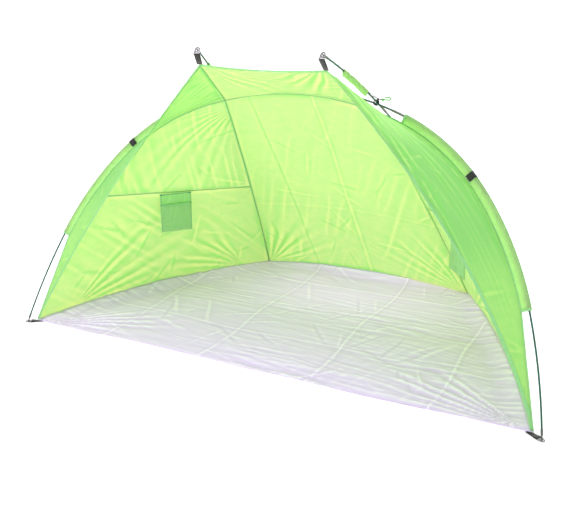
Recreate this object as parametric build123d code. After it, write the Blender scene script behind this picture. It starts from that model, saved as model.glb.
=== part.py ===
from build123d import *
import math
import os

# A two-person beach shelter: a fabric half dome on a groundsheet, held up by one leaning hoop pole
# and two ridge poles that run from the rear corners over the hoop to the two front peaks.
# Millimetres. +X right, +Y back, +Z up. Built from the middle of the floor's front edge, then
# moved so that the origin is the middle of the bounding box, at ground level.

# ---- driving dimensions: floor and fabric outline ----
FLOOR_FRONT = 2000.0        # width of the groundsheet along the open front
FLOOR_REAR = 1005.0         # width of the groundsheet along the back
FLOOR_DEPTH = 1094.0        # front edge to rear edge
FLOOR_BOW = 26.0            # outward bow of the side and rear floor edges at their middle
PEAK_HALF = 237.6           # half the distance between the two front peaks of the roof
PEAK_Y = 110.0              # how far the roof's front edge stands behind the floor's front edge
PEAK_Z = 1055.0             # height of the fabric at the peaks
WAIST_FRONT = 500.0         # height of the seam across each side wall, at its front end
WAIST_REAR = 475.0          # and at its rear end
FREE_EDGE_BOW = (69.0, 54.0)    # bow of each wing's free edge, outward and backward
CORNER_BOW = (2.0, 15.0, 10.0)  # bow of each rear corner seam
ROOF_DIP = 10.0             # sag of the roof's front edge at its middle

# ---- driving dimensions: poles ----
HOOP_LEAN = 23.6            # lean of the hoop's plane from upright, backward
HOOP_START = 9.2            # inward slant of the hoop where it leaves the ground
HOOP_TURNS = (10.9, 19.7, 29.7)     # bend of the first three pole sections, the fourth closes the arch
RIDGE_SECTIONS = 4          # pole sections in each ridge pole
CROSSING_AT = 3.24          # where the ridge pole crosses, in hoop sections from the foot
POLE_D = 6.5                # fibreglass tube, outside
POLE_BORE = 3.4             # and its bore
CORD_PLAY = 1.0             # bore over the elastic cord inside the poles
FERRULE_WALL = 0.95         # metal sleeve over each joint between sections
FERRULE_LENGTH = 50.0
COLLAR_LENGTH = 18.0        # metal collar of a pole tip
PIN_D = 5.0                 # pin of a pole tip
PIN_LENGTH = 14.0           # from the collar to the centre of the pin's round end
TIP_BASE = 1.2              # closed end of the collar
TIP_FIT = 0.2               # collar bore over tube, and tube end to closed end
CROSS_GAP = 0.6             # clear space between crossing poles

# ---- driving dimensions: webbing tabs and tip plates ----
WEBBING = 1.2               # thickness of one layer
WEBBING_WIDTH = 20.0
PLATE = 1.5                 # stamped steel tip plate
PIN_PLAY = 5.0              # plate hole over pole pin
PLATE_RIM = 5.0             # metal round the hole
PLATE_NECK = 6.3            # metal between hole and slot
PLATE_RAIL = 2.25           # metal at each end of the slot
BAR = 3.0                   # the plate's bar that the webbing loops round
SLOT_CLEAR = 0.75           # webbing edge to slot end
SLOT_PLAY = 1.3             # far side of the slot to the webbing in it
EYE_PLAY = 0.52             # webbing's eye round the bar's corners
FOOT_TAB = 21.0             # floor corner to the bar, at the feet
PEAK_TAB = 42.0             # fabric corner to the bar, at the peaks
SEWN = 25.0                 # length of tab sewn over the floor corner
FRONT_SPLAY = -36.0         # plan direction of the front foot tabs, from +X
REAR_SPLAY = 66.4           # and of the rear ones
PEAK_TAB_RISE = 55.0        # rise of the peak tabs from level, going forward
PEAK_PLATE_LEAN = 23.0      # backward lean of the peak plates
TIP_PAST_PLATE = 6.0        # pin end beyond the plate at the peaks

# ---- driving dimensions: cloth parts ----
FABRIC = 1.0                # modelled thickness of the cloth panels
FIT_TOLERANCE = 0.5         # how closely a panel's surface follows its seams
SHEET = 1.0                 # groundsheet
SEAM_OFFSET = 26.0          # hoop pole centre line to the seam inside it
GAP = 2.0                   # clear space at the seams, between panel edges
HEM = 12.0                  # hem width
HEM_THICK = 2.0
TAPE_WIDTH = 18.0           # sewn border along the floor's side and rear edges
TAPE_END = 60.0             # where the border stops short of each corner
WALL_BASE = 4.5             # lowest edge of the wall cloth
HEM_BASE = 10.0             # lowest point of the wing cloth
SLEEVE_PLAY = 1.0           # sleeve all round the ferrules
SLEEVE_WALL = 1.0
HOOP_SLEEVE = (0.976, 2.948)    # ends of the hoop sleeves, in hoop sections from the foot
BAND_AT = 2.152             # middle of the webbing band on each hoop sleeve, in hoop sections
BAND_LENGTH = 25.0
BAND_LEG = 16.0
RIDGE_SLEEVE = (130.0, 285.0)   # ends of the short front sleeve, from the pole's front end
RIDGE_FIN = 18.0            # height of its fin
CORNER_SLEEVE = (110.0, 120.0)  # ends of the long rear sleeve: from the foot, from the crossing
POCKET_AT = 0.50            # middle of the pocket along the waist seam, from the hoop seam
POCKET_WIDTH = 135.0
POCKET_DROP = 165.0
POCKET_HEADER = 45.0        # single cloth above the pocket's mouth
POCKET_DEPTH = 12.0         # space between the pocket's two cloths
POCKET_CLEAR = 5.0          # pocket to wall at the hinge line

# ---- driving dimensions: crossing tie and hook ----
TIE_D = 3.0
TIE_CLEAR = 0.8
TIE_REACH = 14.0            # length of pole, each way from the crossing, kept for the lashing
KNOT_D = 11.0
ELASTIC_D = 2.5
ELASTIC = 9.0               # knot surface to the hook's eye
HOOK_D = 4.0                # moulded rod of the hook
HOOK_SHANK = 27.0
HOOK_MOUTH = 9.0            # across the hook's bend, centre to centre
HOOK_RETURN = 16.0

# ---- derived sizes ----
CORD_D = POLE_BORE - CORD_PLAY
FERRULE_D = POLE_D + 2 * FERRULE_WALL
SLEEVE_BORE = FERRULE_D + 2 * SLEEVE_PLAY
PLATE_HOLE_D = PIN_D + PIN_PLAY
PLATE_TOP = PLATE_HOLE_D + 2 * PLATE_RIM
PLATE_BASE = WEBBING_WIDTH + 2 * (SLOT_CLEAR + PLATE_RAIL)
EYE_R = math.hypot(BAR, PLATE) / 2 + EYE_PLAY
LOOP_R = EYE_R + WEBBING
SLOT = LOOP_R - BAR / 2 + SLOT_PLAY
HOLE_FROM_BAR = BAR / 2 + SLOT + PLATE_NECK + PLATE_HOLE_D / 2

# ---- derived places ----
Z = Vector(0, 0, 1)
FRONT_CORNER = Vector(FLOOR_FRONT / 2, 0, 0)
REAR_CORNER = Vector(FLOOR_REAR / 2, FLOOR_DEPTH, 0)
PEAK = Vector(PEAK_HALF, PEAK_Y, PEAK_Z)
LEAN = math.radians(HOOP_LEAN)
HOOP_UP = Vector(0, math.sin(LEAN), math.cos(LEAN))


def plan(angle):
    """Level unit vector at an angle from +X."""
    return Vector(math.cos(math.radians(angle)), math.sin(math.radians(angle)), 0)


def lerp(a, b, t):
    """Point a share t of the way from a to b."""
    return a + (b - a) * t


def bowed(a, b, bow, t):
    """Point on the line a-b, pushed aside by bow at its middle."""
    return lerp(a, b, t) + bow * (4 * t * (1 - t))


FRONT_SEAT = FRONT_CORNER + plan(FRONT_SPLAY) * (FOOT_TAB + HOLE_FROM_BAR)
REAR_SEAT = REAR_CORNER + plan(REAR_SPLAY) * (FOOT_TAB + HOLE_FROM_BAR)


class Hoop:
    """Right half of the arched pole: four tangent arcs of equal length in the leaning plane."""

    def __init__(self):
        self.turns = list(HOOP_TURNS) + [90 - HOOP_START - sum(HOOP_TURNS)]
        self.length = 1.0   # a pole of unit sections first, then scaled to reach its foot
        self.length = FRONT_SEAT.X / -self.local(4)[0]
        self.breaks = [self.length * i for i in range(5)]

    def local(self, sections):
        """In-plane offset from the foot, inward negative, at a number of sections."""
        x, s, heading = 0.0, 0.0, math.radians(HOOP_START)
        for i, turn in enumerate(self.turns):
            share = min(max(sections - i, 0.0), 1.0)
            bend = math.radians(turn)
            radius = self.length / bend
            end = heading + bend * share
            x += radius * (math.cos(end) - math.cos(heading))
            s += radius * (math.sin(end) - math.sin(heading))
            heading = end
        return x, s, heading

    def point(self, d):
        x, s, _ = self.local(d / self.length)
        return Vector(FRONT_SEAT.X + x, FRONT_SEAT.Y, 0) + HOOP_UP * s

    def tangent(self, d):
        heading = self.local(d / self.length)[2]
        return Vector(-math.sin(heading), 0, 0) + HOOP_UP * math.cos(heading)

    def inward(self, d):
        heading = self.local(d / self.length)[2]
        return Vector(-math.cos(heading), 0, 0) - HOOP_UP * math.sin(heading)

    def seam(self, d):
        """Seam between wing and wall: straight from the floor corner to the sleeve, then along it."""
        bottom = HOOP_SLEEVE[0] * self.length
        along = self.point(max(d, bottom)) + self.inward(max(d, bottom)) * SEAM_OFFSET
        return along if d >= bottom else lerp(FRONT_CORNER, along, d / bottom)


class Ridge:
    """Right ridge pole: one arc from the rear foot over the hoop to the front peak."""

    def __init__(self, foot, crossing, front):
        a, b = crossing - foot, front - foot
        normal = a.cross(b)
        self.normal = normal.normalized()
        to_centre = (normal.cross(a) * b.dot(b) + b.cross(normal) * a.dot(a)) / (2 * normal.dot(normal))
        self.centre = foot + to_centre
        self.radius = to_centre.length
        self.x = (foot - self.centre).normalized()
        self.y = self.normal.cross(self.x)
        self.crossing = self.distance(crossing)
        self.front = self.distance(front)
        self.breaks = [0.0, self.front + TIP_PAST_PLATE]

    def distance(self, place):
        out = place - self.centre
        return self.radius * math.atan2(out.dot(self.y), out.dot(self.x))

    def point(self, d):
        a = d / self.radius
        return self.centre + (self.x * math.cos(a) + self.y * math.sin(a)) * self.radius

    def tangent(self, d):
        a = d / self.radius
        return self.y * math.cos(a) - self.x * math.sin(a)

    def inward(self, d):
        return (self.centre - self.point(d)).normalized()


hoop = Hoop()
HOOP_CROSSING = CROSSING_AT * hoop.length
CROSS_CORNER = hoop.seam(HOOP_CROSSING)

# the tab, plate and pole end at a peak all lie in the upright plane over the roof's side edge
RIDGE_PLAN = (PEAK - CROSS_CORNER - Z * (PEAK.Z - CROSS_CORNER.Z)).normalized()
RISE = math.radians(PEAK_TAB_RISE)
PLATE_LEAN = math.radians(PEAK_PLATE_LEAN)
PEAK_TAB_DIR = RIDGE_PLAN * math.cos(RISE) + Z * math.sin(RISE)
PEAK_PLATE_DIR = Z * math.cos(PLATE_LEAN) - RIDGE_PLAN * math.sin(PLATE_LEAN)
PEAK_BAR = PEAK + PEAK_TAB_DIR * PEAK_TAB
PEAK_SEAT = PEAK_BAR + PEAK_PLATE_DIR * HOLE_FROM_BAR

# the ridge pole crosses over the hoop pole; the gap between them is square to both poles
ridge_run = hoop.point(HOOP_CROSSING) - REAR_SEAT
for _ in range(6):
    OVER_HOOP = hoop.tangent(HOOP_CROSSING).cross(ridge_run).normalized()
    RIDGE_OVER = hoop.point(HOOP_CROSSING) + OVER_HOOP * (POLE_D + CROSS_GAP)
    ridge = Ridge(REAR_SEAT, RIDGE_OVER, PEAK_SEAT)
    ridge_run = ridge.tangent(ridge.crossing)
RIDGE_END = ridge.front + TIP_PAST_PLATE


# ---- helpers that make solids ----
def path(curve, start, end):
    """Wire of arcs along a pole curve between two distances."""
    stops = [start] + [b for b in curve.breaks if start < b < end] + [end]
    arcs = [ThreePointArc(curve.point(a), curve.point((a + b) / 2), curve.point(b))
            for a, b in zip(stops, stops[1:])]
    return Wire(arcs)


def along(curve, start, end, section):
    """Sweep a section, drawn with +X pointing to the inside of the bend, along a pole curve."""
    frame = Plane(curve.point(start), x_dir=curve.inward(start), z_dir=curve.tangent(start))
    return sweep(frame * section, path=path(curve, start, end))


def ring(outer, inner):
    return Circle(outer / 2) - Circle(inner / 2)


def both(solid):
    """A solid and its mirror image, for pieces that straddle or repeat about the middle."""
    return [solid, mirror(solid, about=Plane.YZ)]


def cloth(left, right, thick, bottom_bow=None, top_bow=None, rows=13, columns=9, inset=GAP):
    """Thin curved sheet between two side curves, its bottom and top rows bowed as given."""
    flat = Vector(0, 0, 0)
    grid = []
    for i in range(rows):
        v = i / (rows - 1)
        a, b = left(v), right(v)
        across = (b - a).normalized() * inset
        a, b = a + across, b - across
        row = []
        for j in range(columns):
            u = j / (columns - 1)
            low = bottom_bow(u) if bottom_bow else flat
            high = top_bow(u) if top_bow else flat
            row.append(lerp(a, b, u) + low * (1 - v) + high * v)
        grid.append(row)
    surface = Face.make_surface_from_array_of_points(grid, tol=FIT_TOLERANCE, min_deg=3, max_deg=5)
    return Solid.thicken(surface, thick)


def by_height(curve, low, high, z):
    """Distance along a rising curve where it reaches height z."""
    for _ in range(50):
        mid = (low + high) / 2
        low, high = (mid, high) if curve(mid).Z < z else (low, mid)
    return low


# ---- groundsheet and its sewn border ----
def floor_edge(t):
    """Right side edge of the floor, from the front corner to the rear corner."""
    run = REAR_CORNER - FRONT_CORNER
    out = Vector(run.Y, -run.X, 0).normalized()
    return bowed(FRONT_CORNER, REAR_CORNER, out * FLOOR_BOW, t)


def rear_edge(t):
    """Rear edge of the floor, from the right corner to the left corner."""
    return bowed(REAR_CORNER, flip(REAR_CORNER), Vector(0, FLOOR_BOW, 0), t)


def flip(p):
    return Vector(-p.X, p.Y, p.Z)


def groundsheet():
    fr, rr = FRONT_CORNER, REAR_CORNER
    outline = Wire([
        Line(flip(fr), fr),
        ThreePointArc(fr, floor_edge(0.5), rr),
        ThreePointArc(rr, rear_edge(0.5), flip(rr)),
        ThreePointArc(flip(rr), flip(floor_edge(0.5)), flip(fr)),
    ])
    return extrude(Face(outline), SHEET, dir=Z)


def border(edge, length):
    """Strip of cloth on the groundsheet, just inside one bowed edge."""
    cut = TAPE_END / length
    ends = [edge(cut), edge(0.5), edge(1 - cut)]
    run = (ends[2] - ends[0]).normalized()
    inside = Vector(-run.Y, run.X, 0)
    outer = [p + inside * GAP for p in ends]
    inner = [p + inside * (GAP + TAPE_WIDTH) for p in ends]
    outline = Wire([
        ThreePointArc(*outer),
        Line(outer[2], inner[2]),
        ThreePointArc(*reversed(inner)),
        Line(inner[0], outer[0]),
    ])
    return extrude(Face(outline), SHEET, dir=Z).moved(Location((0, 0, SHEET)))


# ---- cloth panels of the right-hand side ----
def corner_seam(t):
    """Rear corner seam, from the floor corner up to the crossing."""
    return bowed(REAR_CORNER, CROSS_CORNER, Vector(*CORNER_BOW), t)


def free_edge(t):
    """Open front edge of the wing, from the floor corner up to the peak."""
    return bowed(FRONT_CORNER, PEAK, Vector(FREE_EDGE_BOW[0], FREE_EDGE_BOW[1], 0), t)


WAIST_HOOP = by_height(hoop.seam, 0, HOOP_CROSSING, WAIST_FRONT)
WAIST_CORNER = by_height(corner_seam, 0, 1, WAIST_REAR)
SIDE_BASE = by_height(hoop.seam, 0, HOOP_CROSSING, WALL_BASE)
CORNER_BASE = by_height(corner_seam, 0, 1, WALL_BASE)
WING_BASE = by_height(free_edge, 0, 1, HEM_BASE)
SEAM_TOP = HOOP_CROSSING - 4 * GAP


def floor_bow(u):
    return floor_edge(u) - lerp(FRONT_CORNER, REAR_CORNER, u)


def lower_wall():
    return cloth(lambda v: hoop.seam(SIDE_BASE + (WAIST_HOOP - SIDE_BASE) * v),
                 lambda v: corner_seam(CORNER_BASE + (WAIST_CORNER - CORNER_BASE) * v * (1 - GAP / WAIST_REAR)),
                 FABRIC, bottom_bow=floor_bow)


def upper_wall():
    start = WAIST_CORNER + GAP / CROSS_CORNER.Z
    first = WAIST_HOOP + 2 * GAP
    last = HOOP_CROSSING - 12 * GAP
    return cloth(lambda v: hoop.seam(first + (last - first) * v),
                 lambda v: corner_seam(start + (1 - 5 * GAP / CROSS_CORNER.Z - start) * v), FABRIC)


def wing_side(v):
    """Seam side of the wing, foot to crossing."""
    base = by_height(hoop.seam, 0, HOOP_CROSSING, HEM_BASE)
    return hoop.seam(base + (SEAM_TOP - base) * v)


def wing_free(v, back=0.0):
    """Free edge of the wing, foot to peak, or a line a little inside it."""
    p = free_edge(WING_BASE + (1 - 4 * GAP / PEAK_Z - WING_BASE) * v)
    inward = wing_side(v) - p
    return p + inward.normalized() * min(back, inward.length / 3)


def wing():
    return cloth(wing_side, lambda v: wing_free(v, HEM), FABRIC, rows=19)


def wing_hem():
    return cloth(lambda v: wing_free(v, HEM), lambda v: wing_free(v), HEM_THICK, rows=19, columns=3,
                 inset=GAP / 8)


def roof_row(v):
    """Right side of the roof, rear to front."""
    return lerp(CROSS_CORNER, PEAK, v)


def seam_bow(u):
    """Rise of the seam between roof and back above the line between the crossings."""
    d = HOOP_CROSSING + (4 * hoop.length - HOOP_CROSSING) * 2 * min(u, 1 - u)
    p = hoop.seam(d)
    level = CROSS_CORNER
    return Vector(0, p.Y - level.Y, p.Z - level.Z)


def roof_dip(u):
    return Vector(0, 0, -ROOF_DIP * 4 * u * (1 - u))


def roof(near, far, thick, inset=GAP):
    return cloth(lambda v: flip(roof_row(near + (far - near) * v)), lambda v: roof_row(near + (far - near) * v),
                 thick, bottom_bow=lambda u: lerp(seam_bow(u), roof_dip(u), near),
                 top_bow=lambda u: lerp(seam_bow(u), roof_dip(u), far), inset=inset)


def rear_bow(u):
    return Vector(0, rear_edge(u).Y - FLOOR_DEPTH, 0)


def back():
    top = 1 - GAP / CROSS_CORNER.Z
    low = CORNER_BASE
    return cloth(lambda v: flip(corner_seam(low + (top - low) * v)), lambda v: corner_seam(low + (top - low) * v),
                 FABRIC, bottom_bow=rear_bow, top_bow=seam_bow, columns=13)


# ---- pole sleeves ----
def tube_with_fin(fin):
    outer = SLEEVE_BORE / 2 + SLEEVE_WALL
    blade = Pos(fin / 2, 0) * Rectangle(fin, SLEEVE_WALL * 2)
    return Circle(outer) + blade - Circle(SLEEVE_BORE / 2)


def hoop_sleeve():
    ends = [s * hoop.length for s in HOOP_SLEEVE]
    return along(hoop, ends[0], ends[1], tube_with_fin(SEAM_OFFSET - 1.5 * GAP))


def hoop_band():
    """Webbing band folded over the outside of the hoop sleeve."""
    inner = SLEEVE_BORE / 2 + SLEEVE_WALL + GAP / 10
    outer = inner + WEBBING
    band = Circle(outer) + Pos(BAND_LEG / 2, 0) * Rectangle(BAND_LEG, 2 * outer)
    hollow = Circle(inner) + Pos(BAND_LEG / 2 + WEBBING, 0) * Rectangle(BAND_LEG + 2 * WEBBING, 2 * inner)
    middle = BAND_AT * hoop.length
    return along(hoop, middle - BAND_LENGTH / 2, middle + BAND_LENGTH / 2, band - hollow)


def ridge_sleeve():
    return along(ridge, RIDGE_END - RIDGE_SLEEVE[1], RIDGE_END - RIDGE_SLEEVE[0], tube_with_fin(RIDGE_FIN))


def corner_sleeve():
    """Tube round the pole, with a flat crescent of cloth that reaches in to the corner seam."""
    start, end = CORNER_SLEEVE[0], ridge.crossing - CORNER_SLEEVE[1]
    tube = along(ridge, start, end, ring(SLEEVE_BORE + 2 * SLEEVE_WALL, SLEEVE_BORE))
    rim = SLEEVE_BORE / 2 + SLEEVE_WALL / 2
    outer = [ridge.point(d) + ridge.inward(d) * rim for d in (start, (start + end) / 2, end)]
    seam = []
    for d in (start, (start + end) / 2, end):
        t = by_height(corner_seam, 0, 1, ridge.point(d).Z - 2 * SLEEVE_BORE)
        place = corner_seam(t)
        off = (place - ridge.centre).dot(ridge.normal)
        in_plane = place - ridge.normal * off
        seam.append(in_plane + (ridge.point(d) - in_plane).normalized() * 2 * GAP)
    outline = Wire([ThreePointArc(*outer), Line(outer[2], seam[2]), ThreePointArc(*reversed(seam)),
                    Line(seam[0], outer[0])])
    blade = extrude(Face(outline), SLEEVE_WALL / 2, dir=ridge.normal, both=True)
    return tube + blade


# ---- poles ----
def tubes(curve, joints):
    """Tubes end to end along a pole curve, from joint to joint."""
    return [along(curve, a, b, ring(POLE_D, POLE_BORE)) for a, b in zip(joints, joints[1:])]


def pole_joints(start, end, sections, crossing):
    """Ends of equal sections, each joint kept clear of the lashing where the poles cross."""
    clear = FERRULE_LENGTH / 2 + TIE_REACH
    joints = [start + (end - start) * i / sections for i in range(sections + 1)]
    return [d if abs(d - crossing) > clear else crossing + math.copysign(clear, d - crossing) for d in joints]


def ferrules(curve, stops):
    half = FERRULE_LENGTH / 2
    return [along(curve, d - half, d + half, ring(FERRULE_D, POLE_D)) for d in stops]


def tip(curve, ball, sign):
    """Metal tip: round end, pin and a collar over the tube; sign +1 points up the pole."""
    stops = [ball, ball + sign * PIN_LENGTH, ball + sign * (PIN_LENGTH + TIP_BASE)]
    stops.append(stops[2] + sign * COLLAR_LENGTH)
    pieces = [Circle(PIN_D / 2), Circle(FERRULE_D / 2), ring(FERRULE_D, POLE_D + TIP_FIT)]
    whole = Sphere(PIN_D / 2).moved(Location(curve.point(ball)))
    for section, a, b in zip(pieces, stops, stops[1:]):
        whole += along(curve, min(a, b), max(a, b), section)
    return whole


TIP_LENGTH = PIN_LENGTH + TIP_BASE + TIP_FIT     # centre of the round end to the end of the tube
HOOP_BALL = by_height(hoop.point, 0, hoop.length, PIN_D / 2)
RIDGE_BALL = by_height(ridge.point, 0, ridge.crossing, PIN_D / 2)
RIDGE_TOP_BALL = RIDGE_END - PIN_D / 2
HOOP_TOP = 4 * hoop.length
HOOP_JOINTS = pole_joints(HOOP_BALL + TIP_LENGTH, HOOP_TOP, 4, HOOP_CROSSING)
RIDGE_JOINTS = pole_joints(RIDGE_BALL + TIP_LENGTH, RIDGE_TOP_BALL - TIP_LENGTH, RIDGE_SECTIONS, ridge.crossing)


def hoop_cord():
    half = along(hoop, HOOP_BALL + TIP_LENGTH + CORD_D, HOOP_TOP, Circle(CORD_D / 2))
    return half + mirror(half, about=Plane.YZ)


# ---- tabs and plates: drawn with the bar along X at the origin, +Y away from the cloth ----
def tab(bar, forward, up, reach, sewn):
    """Webbing folded round the plate's bar, its two layers closing to a flat sewn end."""
    low = LOOP_R if sewn == 0 else LOOP_R - SHEET - GAP / 10
    mid = -low + WEBBING if sewn else 0.0
    end = -(reach + sewn)
    close = -(reach - GAP)
    outer = Polyline((LOOP_R, 0), (mid + WEBBING, close), (mid + WEBBING, end), (mid - WEBBING, end),
                     (mid - WEBBING, close), (-LOOP_R, 0))
    body = make_face(Wire([*outer.edges(), ThreePointArc((-LOOP_R, 0), (0, LOOP_R), (LOOP_R, 0))]))
    inner = Polyline((EYE_R, 0), (mid, close * 0.7), (-EYE_R, 0))
    eye = make_face(Wire([*inner.edges(), ThreePointArc((-EYE_R, 0), (0, EYE_R), (EYE_R, 0))]))
    side = up.cross(forward)
    frame = Plane(bar - side * (WEBBING_WIDTH / 2), x_dir=up, z_dir=side)
    return extrude(frame * (body - eye), WEBBING_WIDTH)


def plate(bar, outward, up):
    """Stamped plate: a bar and slot at one end and a round hole at the other."""
    side = outward.cross(up)
    frame = Plane(bar - up * (PLATE / 2), x_dir=side, z_dir=up)
    half, top = PLATE_BASE / 2, PLATE_TOP / 2
    low = -BAR / 2
    slot_end = BAR / 2 + SLOT
    outline = Polyline((top, HOLE_FROM_BAR), (half, slot_end), (half, low), (-half, low), (-half, slot_end),
                       (-top, HOLE_FROM_BAR))
    arc = ThreePointArc((-top, HOLE_FROM_BAR), (0, HOLE_FROM_BAR + top), (top, HOLE_FROM_BAR))
    body = make_face(Wire([*outline.edges(), arc]))
    slot = Pos(0, BAR / 2 + SLOT / 2) * Rectangle(WEBBING_WIDTH + 2 * SLOT_CLEAR, SLOT)
    hole = Pos(0, HOLE_FROM_BAR) * Circle(PLATE_HOLE_D / 2)
    return extrude(frame * (body - slot - hole), PLATE)


FOOT_BAR_UP = Z * LOOP_R
FRONT_BAR = FRONT_CORNER + plan(FRONT_SPLAY) * FOOT_TAB + FOOT_BAR_UP
REAR_BAR = REAR_CORNER + plan(REAR_SPLAY) * FOOT_TAB + FOOT_BAR_UP
PEAK_SIDE = PEAK_TAB_DIR.cross(RIDGE_PLAN.cross(Z)).normalized()


# ---- pocket, tie and hook ----
POCKET_TOP = lerp(hoop.seam(WAIST_HOOP), corner_seam(WAIST_CORNER), POCKET_AT)
WAIST_RUN = (corner_seam(WAIST_CORNER) - hoop.seam(WAIST_HOOP))
POCKET_RUN = Vector(WAIST_RUN.X, WAIST_RUN.Y, 0).normalized()
POCKET_IN = Vector(-POCKET_RUN.Y, POCKET_RUN.X, 0)
POCKET_HINGE = POCKET_TOP + POCKET_IN * POCKET_CLEAR - Z * POCKET_CLEAR


def pocket():
    """Hanging pocket: a full-height back cloth, and a front cloth that stops at the mouth."""
    depth = POCKET_DEPTH + 2 * FABRIC
    body_drop = POCKET_DROP - POCKET_HEADER
    back_cloth = Pos(0, FABRIC / 2, -POCKET_DROP / 2) * Box(POCKET_WIDTH, FABRIC, POCKET_DROP)
    pouch = Pos(0, depth / 2, -POCKET_HEADER - body_drop / 2) * Box(POCKET_WIDTH, depth, body_drop)
    space = Pos(0, depth / 2, -POCKET_HEADER - body_drop / 2 + FABRIC)
    hollow = space * Box(POCKET_WIDTH - 2 * FABRIC, POCKET_DEPTH, body_drop)
    shape = back_cloth + (pouch - hollow)
    place = Plane(POCKET_HINGE, x_dir=POCKET_IN.cross(Z), z_dir=Z)
    return place.location * shape


CROSS_MID = (hoop.point(HOOP_CROSSING) + RIDGE_OVER) / 2
LAY_A = hoop.tangent(HOOP_CROSSING)
LAY_B = ridge.tangent(ridge.crossing)
TIE_ACROSS = (LAY_A + LAY_B).normalized()
KNOT = RIDGE_OVER + OVER_HOOP * (POLE_D / 2 + TIE_CLEAR + KNOT_D / 2)
HOOK_DIR = Vector(1, 0, 0)


def crossing_tie():
    """Cord lashed diagonally round both poles, with a knot on the outside."""
    slant = math.radians(LAY_A.get_angle(LAY_B) / 2)
    wide = POLE_D / math.sin(slant) + TIE_D / math.tan(slant) + 2 * TIE_CLEAR
    tall = 2 * POLE_D + CROSS_GAP + 2 * TIE_CLEAR
    frame = Plane(CROSS_MID, x_dir=TIE_ACROSS, z_dir=TIE_ACROSS.cross(OVER_HOOP))
    outer = RectangleRounded(wide + 2 * TIE_D, tall + 2 * TIE_D, TIE_D)
    lash = extrude(frame * (outer - RectangleRounded(wide, tall, TIE_D / 3)), TIE_D / 2, both=True)
    return Plane(KNOT, z_dir=TIE_ACROSS).location * Sphere(KNOT_D / 2) + lash


def hook_elastic():
    root = KNOT + HOOK_DIR * (KNOT_D / 2 + GAP / 5)
    return extrude(Plane(root, z_dir=HOOK_DIR) * Circle(ELASTIC_D / 2), ELASTIC)


def hook():
    """J-shaped moulded hook with a solid eye boss at its root."""
    root = KNOT + HOOK_DIR * (KNOT_D / 2 + GAP / 5 + ELASTIC)
    bend = root + HOOK_DIR * HOOK_SHANK
    top = bend + Z * HOOK_MOUTH
    line = Wire([
        Line(root, bend),
        ThreePointArc(bend, bend + Vector(HOOK_MOUTH / 2, 0, HOOK_MOUTH / 2), top),
        Line(top, top - HOOK_DIR * HOOK_RETURN),
    ])
    rod = sweep(Plane(root, z_dir=HOOK_DIR) * Circle(HOOK_D / 2), path=line)
    boss = extrude(Plane(root, z_dir=HOOK_DIR) * Circle(HOOK_D), HOOK_D * 2)
    return rod + boss


# ---- every node: right-hand pieces first, then their mirror images ----
right = {
    "lower_wall": lower_wall(),
    "upper_wall": upper_wall(),
    "wing": wing(),
    "wing_hem": wing_hem(),
    "hoop_sleeve": hoop_sleeve(),
    "ridge_sleeve": ridge_sleeve(),
    "corner_sleeve": corner_sleeve(),
    "front_foot_tab": tab(FRONT_BAR, plan(FRONT_SPLAY), Z, FOOT_TAB, SEWN),
    "rear_foot_tab": tab(REAR_BAR, plan(REAR_SPLAY), Z, FOOT_TAB, SEWN),
    "peak_tab": tab(PEAK_BAR, PEAK_TAB_DIR, PEAK_SIDE, PEAK_TAB, 0.0),
    "front_foot_plate": plate(FRONT_BAR, plan(FRONT_SPLAY), Z),
    "rear_foot_plate": plate(REAR_BAR, plan(REAR_SPLAY), Z),
    "peak_plate": plate(PEAK_BAR, PEAK_PLATE_DIR, PEAK_PLATE_DIR.cross(RIDGE_PLAN.cross(Z)).normalized()),
    "pocket": pocket(),
    "crossing_tie": crossing_tie(),
    "hook_elastic": hook_elastic(),
    "hook": hook(),
}
hoop_tubes = tubes(hoop, HOOP_JOINTS)
ridge_tubes = tubes(ridge, RIDGE_JOINTS)
for i, tube in enumerate(hoop_tubes):
    right[f"hoop_pole_{i + 1}"] = tube
for i, tube in enumerate(ridge_tubes):
    right[f"ridge_pole_{i + 1}"] = tube

half_top = along(hoop, HOOP_TOP - FERRULE_LENGTH / 2, HOOP_TOP, ring(FERRULE_D, POLE_D))
right_ferrules = ferrules(hoop, HOOP_JOINTS[1:-1]) + ferrules(ridge, RIDGE_JOINTS[1:-1])
right_tips = [tip(hoop, HOOP_BALL, 1), tip(ridge, RIDGE_BALL, 1), tip(ridge, RIDGE_TOP_BALL, -1)]
ridge_cord = along(ridge, RIDGE_BALL + TIP_LENGTH + CORD_D, RIDGE_TOP_BALL - TIP_LENGTH - CORD_D,
                   Circle(CORD_D / 2))

nodes = {
    "groundsheet": [groundsheet()],
    "floor_border": both(border(floor_edge, (REAR_CORNER - FRONT_CORNER).length))
    + [border(rear_edge, FLOOR_REAR)],
    "back_panel": [back()],
    "roof_panel": [roof(GAP / 100, 1 - (HEM + GAP) / (PEAK - CROSS_CORNER).length, FABRIC)],
    "roof_front_hem": [roof(1 - HEM / (PEAK - CROSS_CORNER).length, 1, HEM_THICK, inset=7 * GAP)],
    "sleeve_bands": both(hoop_band()),
    "pole_ferrules": [f for part in right_ferrules for f in both(part)]
    + [half_top + mirror(half_top, about=Plane.YZ)],
    "pole_tips": [t for part in right_tips for t in both(part)],
    "shock_cords": [hoop_cord()] + both(ridge_cord),
}
for name, solid in right.items():
    nodes[f"{name}_right"] = [solid]
    nodes[f"{name}_left"] = [mirror(solid, about=Plane.YZ)]

# ---- move the origin to the middle of the footprint, on the ground, and write ----
box = Compound(children=[piece for solids in nodes.values() for s in solids for piece in s.solids()]).bounding_box()
shift = Vector(0, -(box.min.Y + box.max.Y) / 2, -box.min.Z)
print("box", [round(v, 2) for v in (*box.min, *box.max)], "shift", [round(v, 3) for v in shift])

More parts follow.
